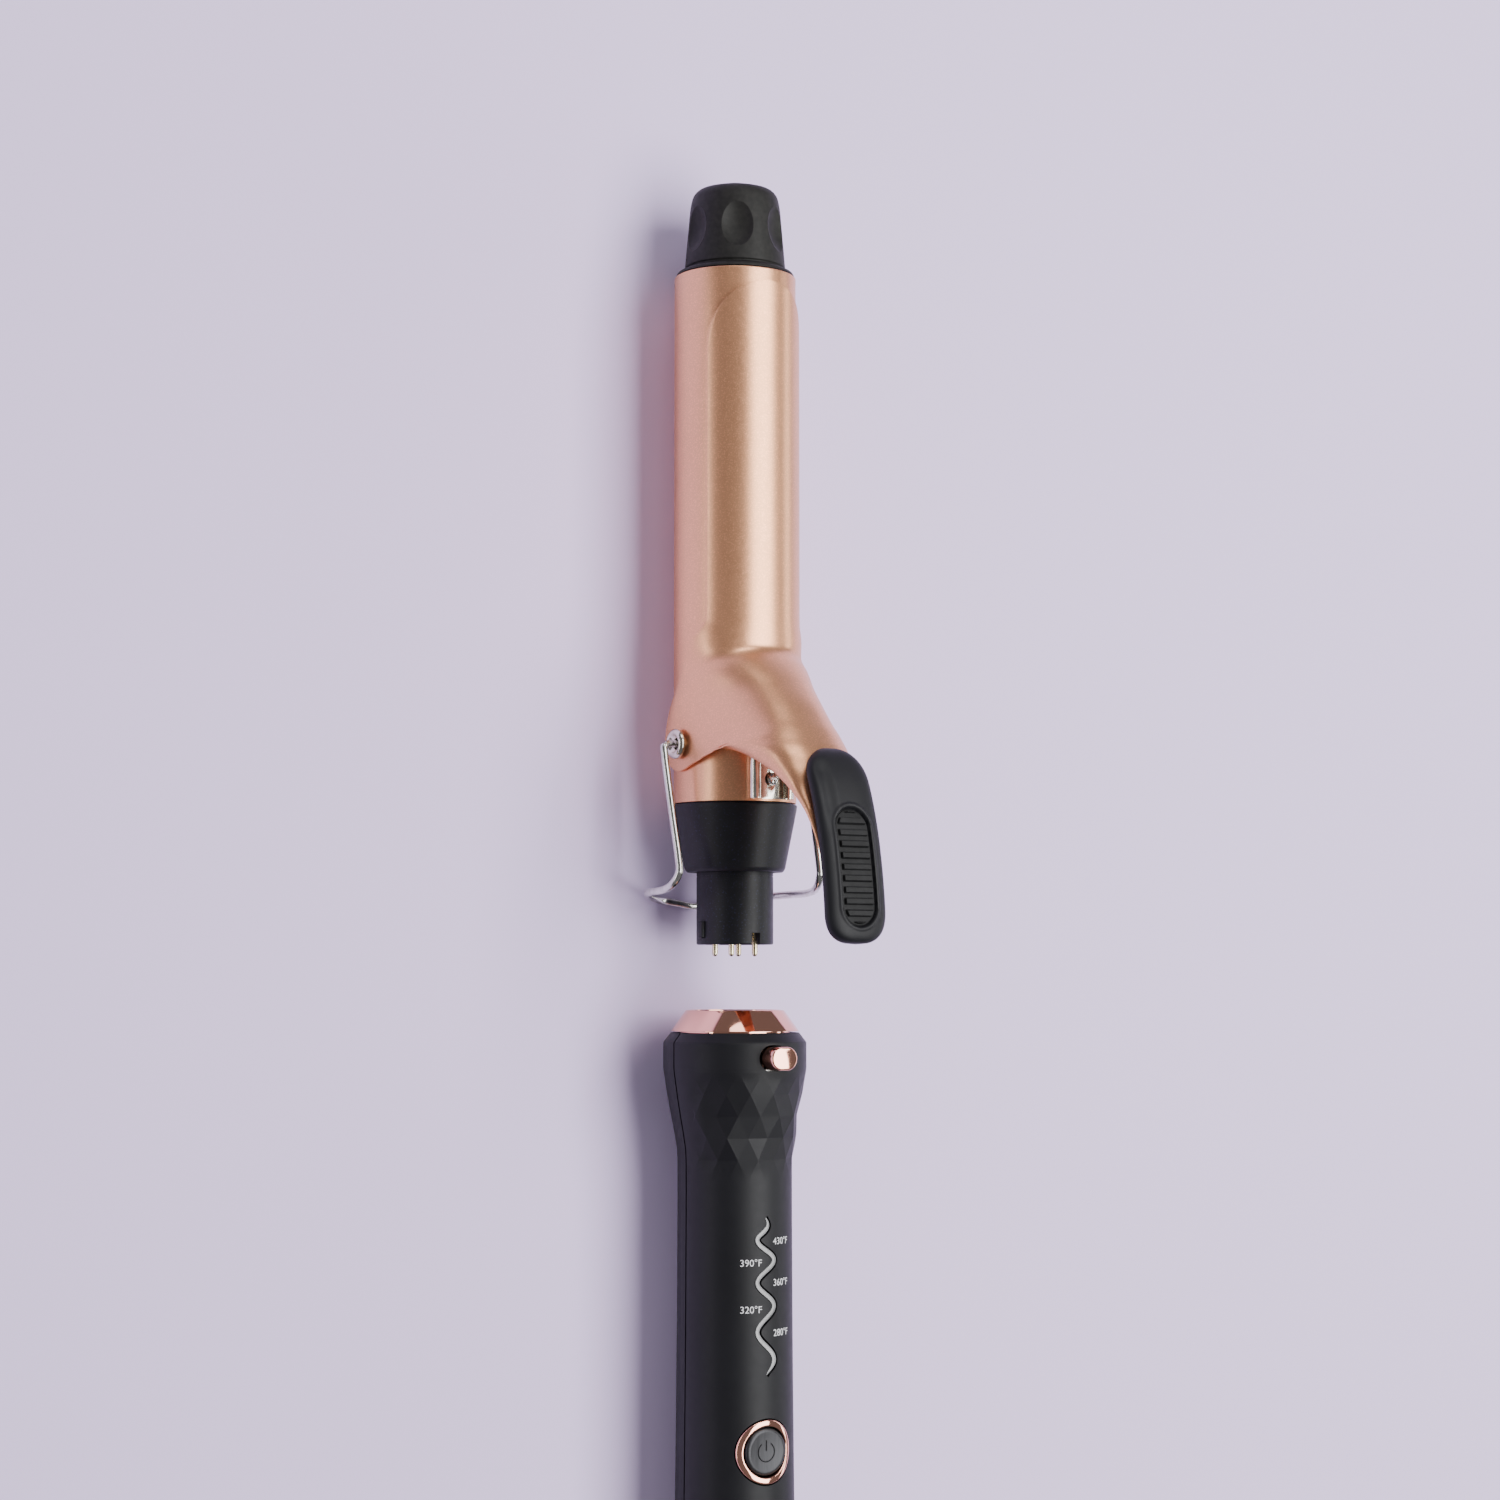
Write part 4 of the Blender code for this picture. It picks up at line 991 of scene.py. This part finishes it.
class IRON_OT_shells(IronOperator, bpy.types.Operator):
    """Turn the grip's two halves, cut the front one for its buttons and window, and facet its shoulder"""
    bl_idname = "iron.shells"
    bl_label = "Handle shells"

    def make(self):
        front = self.half(1)
        self.facet(front)
        carve(front, self.strip_tool())
        carve(front, plug_tool(8.3, 12, on_handle(0, POWER_BACK, 14), "Z", 96))
        carve(front, pill(BUTTON_FLAT, 3.3, 12, on_handle(0, BUTTON_BACK, 18)))
        settle(front, "grip_front", "soft_black", "handle", "handle_front_shell", angle=4)
        rear = self.half(-1)
        for back in SCREWS_BACK:
            carve(rear, plug_tool(2.9, 6.6, on_handle(0, back, -16.7), "Z", 48))
            carve(rear, plug_tool(1.5, 12, on_handle(0, back, -16), "Z", 32))
        settle(rear, "grip_rear", "soft_black", "handle", "handle_rear_shell", angle=50)

    def half(self, side):
        fine = ROW_HEIGHT / FACET_FINE
        stops = [5.8, 6.1, 8.0, 8.4, 9.5, 11, 13, 14.6]
        stops += [RELIEF_TOP + fine * index for index in range(RELIEF_ROWS * FACET_FINE + 1)]
        stops += [45 + 5 * index for index in range(22)] + [HANDLE_END - 0.6, HANDLE_END - 0.3]
        outer = [(shell_radius(back), -back) for back in stops]
        inside = (152.0, 126, 90, 62, 38.7, 32.5, 26.3, 21.2, 15, 8.6, 5.8)
        inner = [(shell_radius(back) - 2.0, -back) for back in inside]
        inner = [(radius, max(along, -(HANDLE_END - 0.3))) for radius, along in inner]
        shell = turned(outer + inner, AT_COLLAR, steps=2 * FACETS_ROUND * FACET_FINE)
        edit(shell)
        seam = (0, 0, AXIS_Z + side * 0.25 * MM)
        bpy.ops.mesh.bisect(plane_co=seam, plane_no=(0, 0, side), clear_inner=True)
        pick_open_edges(shell)
        bpy.ops.mesh.fill(use_beauty=False)
        return sealed(shell)

    def facet(self, shell):
        """Cut the band's faces across both ways, then lay every point on its triangle."""
        pick(shell)
        for face in shell.data.polygons:
            back = (COLLAR_Y - face.center.y) / MM
            out = Vector((face.center.x, face.center.z - AXIS_Z)).length / MM
            banded = RELIEF_TOP < back < RELIEF_TOP + RELIEF_ROWS * ROW_HEIGHT and len(face.vertices) == 4
            face.select = banded and out > shell_radius(back) - 0.5
        bpy.ops.object.mode_set(mode="EDIT")
        bpy.ops.mesh.select_mode(type="FACE")
        bpy.ops.mesh.poke()
        done_editing()
        bottom = RELIEF_TOP + RELIEF_ROWS * ROW_HEIGHT
        for vertex in shell.data.vertices:
            x, z = vertex.co.x / MM, (vertex.co.z - AXIS_Z) / MM
            back = (COLLAR_Y - vertex.co.y) / MM
            radius = sqrt(x * x + z * z)
            if radius < shell_radius(back) - 0.5 or z < 0.4:
                continue
            turn = atan2(z, x)
            flat = facet_radius(turn, back + 0.001)
            if flat:
                fade = eased((back - RELIEF_TOP) / 3) * eased((bottom - back) / 5)
                fade *= eased((turn - 0.2) / 0.4) * eased((pi - 0.2 - turn) / 0.4)
                stretch = 1 + (flat / radius - 1) * fade
                vertex.co.x *= stretch
                vertex.co.z = AXIS_Z + z * MM * stretch

    def strip_tool(self):
        tool = woven_grid(strip_rows(0.28, ((-1, 18), (0, 18), (1, 18))))
        edit(tool)
        bpy.ops.mesh.extrude_region_move(TRANSFORM_OT_translate={"value": (0, 0, -9 * MM)})
        return sealed(tool)


def pill(flat, radius, depth, place):
    """A round-ended block standing upright: two rods and the block between them, joined."""
    left = plug_tool(radius, depth, place - Vector((flat / 2 * MM, 0, 0)), sides=64)
    right = plug_tool(radius, depth, place + Vector((flat / 2 * MM, 0, 0)), sides=64)
    carve(left, right, "UNION")
    carve(left, block((flat, radius * 2, depth), place), "UNION")
    return left


class IRON_OT_release_button(IronOperator, bpy.types.Operator):
    """Shape the polished release button"""
    bl_idname = "iron.release_button"
    bl_label = "Release button"

    def make(self):
        low, high = (corner.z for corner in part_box("release_button"))
        middle = Vector((0, on_handle(0, BUTTON_BACK, 0).y, (low + high) / 2))
        button = pill(BUTTON_FLAT, 2.95, (high - low) / MM, middle)
        edit(button)
        bpy.ops.mesh.dissolve_limited(angle_limit=radians(1))
        done_editing()
        soften_edges(button, 0.55, 4, 60)
        settle(button, "release_pill", "rose_mirror", "release", "release_button", angle=40)


# The dial's numbers: (words, aside, back)
LABELS = (("430°F", 5.0, 58.0), ("390°F", -4.3, 63.2), ("360°F", 5.0, 68.3),
          ("320°F", -4.3, 74.8), ("280°F", 5.0, 80.8))
LABEL_SIZE = 2.45


class IRON_OT_light_strip(IronOperator, bpy.types.Operator):
    """Fill the wavy slot with its smoked window and print the temperatures beside it"""
    bl_idname = "iron.light_strip"
    bl_label = "Light strip and numbers"

    def make(self):
        crown = GRIP_RADIUS - 0.28
        levels = ((-1, crown - 1.6), (-1, crown - 0.25), (-0.8, crown - 0.05), (0, crown),
                  (0.8, crown - 0.05), (1, crown - 0.25), (1, crown - 1.6))
        window = woven_grid(strip_rows(0.0, levels))
        pick_open_edges(window)
        bpy.ops.mesh.edge_face_add()
        sealed(window)
        settle(window, "light_window", "smoke_clear", "handle", "light_pipe", angle=50)
        for words, aside, back in LABELS:
            self.number(words, aside, back)

    def number(self, words, aside, back):
        start_clear()
        bpy.ops.object.text_add()
        text = bpy.context.object
        text.data.body = words
        text.data.size = LABEL_SIZE * MM
        text.data.align_x = "CENTER"
        text.data.align_y = "CENTER"
        text.data.extrude = 0.03 * MM
        text.data.resolution_u = 4
        bpy.ops.object.convert(target="MESH")
        label = bpy.context.object
        edit(label)
        bpy.ops.mesh.remove_doubles(threshold=0.000001)
        done_editing()
        radius = shell_radius(back) + 0.02
        for vertex in label.data.vertices:
            turn = (vertex.co.x / MM * 1.02 + aside) / radius
            lift = radius + vertex.co.z / MM
            vertex.co = on_handle(lift * sin(turn), back - vertex.co.y / MM, lift * cos(turn))
        settle(label, "mark_" + words[:3], "label_ink", "handle", angle=30)


class IRON_OT_power_button(IronOperator, bpy.types.Operator):
    """Fit the power button: a polished ring bent to the grip, a dished cap and its mark, whose dark inlay is
    painted shade for the engraved symbol's groove
    """
    bl_idname = "iron.power_button"
    bl_label = "Power button"

    def make(self):
        place = on_handle(0, POWER_BACK, 0)
        crown = GRIP_RADIUS + 0.62
        ring = turned([(8.0, 15.6, 0.5), (8.0, 11), (6.3, 11), (6.3, 15.6, 0.5)], place, "Z", 128)
        for vertex in ring.data.vertices:
            drop = crown - sqrt(crown ** 2 - (vertex.co.x / MM) ** 2)
            if vertex.co.z > AXIS_Z + 13 * MM:
                vertex.co.z -= (drop + 15.6 - crown) * MM
        settle(ring, "power_bezel", "rose_mirror", "handle", "power_button_ring")
        dish = [(0, 14.55), (3.6, 14.62), (5.2, 14.85, 0.8), (5.95, 14.4, 0.4), (5.95, 10.8), (0, 10.8)]
        cap = turned(dish, place, "Z", 96)
        settle(cap, "power_cap", "cap_grey", "power", "power_button_cap")
        self.mark(place)

    def mark(self, place):
        # The power symbol's engraved groove is not cut. Thin dark wires half sunk in the cap stand in for it:
        # painted shade in place of the groove's shadow.
        level, radius = 14.63, 2.4
        turns = [radians(125 + 290 * step / 40) for step in range(41)]
        ring = [place + Vector((radius * cos(turn), radius * sin(turn), level)) * MM for turn in turns]
        line = [place + Vector((0, y, level)) * MM for y in (0.3, 1.5, 2.9)]
        for name, points in (("power_groove_shade_ring", ring), ("power_groove_shade_line", line)):
            settle(bent_wire(points, 0.16 * MM, 2), name, "soft_black", "power", angle=60)


class IRON_OT_tail(IronOperator, bpy.types.Operator):
    """Turn the tail cap and the grooved gland behind it"""
    bl_idname = "iron.tail"
    bl_label = "Tail"

    def make(self):
        end = -HANDLE_END
        cap = [(15.6, end, 0.2), (15.6, end - 3.2, 2.0), (12.6, end - 8.65, 1.6), (5.4, end - 8.65, 0.3),
               (5.4, end - 6.1), (13.0, end - 4.6), (13.0, end)]
        settle(turned(cap, AT_COLLAR), "tail_cover", "soft_black", "handle", "tail_cap")
        start = end + 0.35 - 9.0
        gland = [(7.6, start + 6.4), (7.6, start + 4.2), (4.9, start + 4.2), (4.9, start - 0.5),
                 (6.0, start - 0.5, 0.3), (5.7, start - 2.6, 0.2)]
        for index in range(4):
            at = start - 3.0 - 2.8 * index
            radius = 5.55 - 0.42 * index
            gland += [(radius, at, 0.15), (radius - 0.6, at - 0.2, 0.15), (radius - 0.7, at - 0.9, 0.15),
                      (radius - 0.1, at - 1.1, 0.15)]
        gland += [(3.9, start - 15.0, 0.3), (2.6, start - 15.0, 0.2), (2.6, start + 6.4)]
        settle(turned(gland, AT_COLLAR, steps=64), "cord_sleeve", "rubber", "cord_exit", "cord_gland")


class IRON_OT_inner_finishes(IronOperator, bpy.types.Operator):
    """Give every working piece that shows as it is the finish of its material"""
    bl_idname = "iron.inner_finishes"
    bl_label = "Working pieces"

    def make(self):
        kinds = {part["node"]: part["material_slot"] for part in frame["record"]["subparts"]}
        for node, thing in NODES.items():
            thing.data.materials.clear()
            thing.data.materials.append(finish(kinds[node]))


class IRON_OT_stage(IronOperator, bpy.types.Operator):
    """Lay the pale floor, hang the soft lights and set the camera"""
    bl_idname = "iron.stage"
    bl_label = "Stage"

    def make(self):
        self.floor()
        self.lights()
        self.camera()

    def floor(self):
        start_clear()
        bpy.ops.mesh.primitive_plane_add(size=40, location=(0, 0, -0.0002))
        floor = bpy.context.object
        floor.name = "floor"
        made = Finish("pale_floor").set(Roughness=0.9, Specular_IOR_Level=0.1)
        colour = bpy.context.scene.iron_stage.floor
        drift = made.noise(2.0, 2)
        made.colour(made.ramp(drift, (0.2, shade_of(colour, 0.98)), (0.8, shade_of(colour, 1.02))))
        floor.data.materials.append(made.material)

    def lights(self):
        world = bpy.data.worlds.new("studio")
        world.use_nodes = True
        sky = world.node_tree.nodes["Background"].inputs
        sky["Color"].default_value = (0.97, 0.96, 1.0, 1)
        sky["Strength"].default_value = 0.19
        bpy.context.scene.world = world
        middle = Vector((0, 0, AXIS_Z))
        self.soft_light("key", (0.30, 0.08, 1.0), 1.0, (0.70, 1.2), 20, middle)
        self.soft_light("rim", (0.98, 0.0, 0.30), 1.1, (0.20, 1.0), 3.0, middle)
        self.soft_light("top", (-0.15, 0.95, 0.60), 1.3, (0.7, 0.5), 4, middle)
        self.soft_light("fill", (-1.0, 0.0, 0.12), 1.2, (0.16, 1.0), 2.5, middle)

    def soft_light(self, name, way, distance, size, power, target):
        start_clear()
        place = target + Vector(way).normalized() * distance
        bpy.ops.object.light_add(type="AREA", location=place)
        light = bpy.context.object
        light.name = name
        light.data.shape = "RECTANGLE"
        light.data.size = size[0]
        light.data.size_y = size[1]
        light.data.energy = power
        back = (place - target).normalized()
        right = Vector((0, 1, 0)).cross(back).normalized()
        light.matrix_world = Matrix.Translation(place) @ turn_matrix(right, back.cross(right), back)

    def camera(self):
        settings = bpy.context.scene.iron_stage
        raise_by = settings.camera_height
        back = Vector((-cos(raise_by), 0, sin(raise_by)))
        right = Vector((sin(raise_by), 0, cos(raise_by)))
        foot = on_seat(0, -26.3, 0)
        place = foot + back * settings.camera_distance
        target = on_seat(0, 31.7, 0) + right * 3.9 * MM
        view = (place - target).normalized()
        side = Vector((0, 1, 0)).cross(view).normalized()
        start_clear()
        bpy.ops.object.camera_add(location=place)
        camera = bpy.context.object
        camera.name = "camera"
        camera.data.lens = 70.3
        camera.data.sensor_width = 36
        camera.data.clip_start = 0.01
        camera.matrix_world = Matrix.Translation(place) @ turn_matrix(side, view.cross(side), view)
        bpy.context.scene.camera = camera


def turn_matrix(right, up, back):
    return Matrix((right, up, back)).transposed().to_4x4()


OPERATORS = (IRON_OT_barrel, IRON_OT_cool_tip, IRON_OT_base, IRON_OT_eyelets, IRON_OT_bracket, IRON_OT_clip,
             IRON_OT_thumb_rest, IRON_OT_stand, IRON_OT_collar, IRON_OT_shells, IRON_OT_release_button,
             IRON_OT_light_strip, IRON_OT_power_button, IRON_OT_tail, IRON_OT_inner_finishes, IRON_OT_stage)
SETTINGS = {"iron_barrel": BarrelSettings, "iron_handle": HandleSettings, "iron_stage": StageSettings}


class IRON_PT_panel(bpy.types.Panel):
    """Every piece of the iron, in the order it is made"""
    bl_label = "Curling iron"
    bl_idname = "IRON_PT_panel"
    bl_space_type = "VIEW_3D"
    bl_region_type = "UI"
    bl_category = "Curling iron"

    def draw(self, context):
        for name in SETTINGS:
            group = getattr(context.scene, name)
            for key in group.__annotations__:
                self.layout.prop(group, key)
        for operator in OPERATORS:
            self.layout.operator(operator.bl_idname)


def register():
    for made in (*SETTINGS.values(), *OPERATORS, IRON_PT_panel):
        bpy.utils.register_class(made)
    for name, group in SETTINGS.items():
        setattr(bpy.types.Scene, name, PointerProperty(type=group))


def unregister():
    for name in SETTINGS:
        delattr(bpy.types.Scene, name)
    for made in (IRON_PT_panel, *OPERATORS[::-1], *SETTINGS.values()):
        bpy.utils.unregister_class(made)


def main():
    register()
    for operator in OPERATORS:
        group, call = operator.bl_idname.split(".")
        getattr(getattr(bpy.ops, group), call)()
    start_clear()


if __name__ == "__main__":
    main()
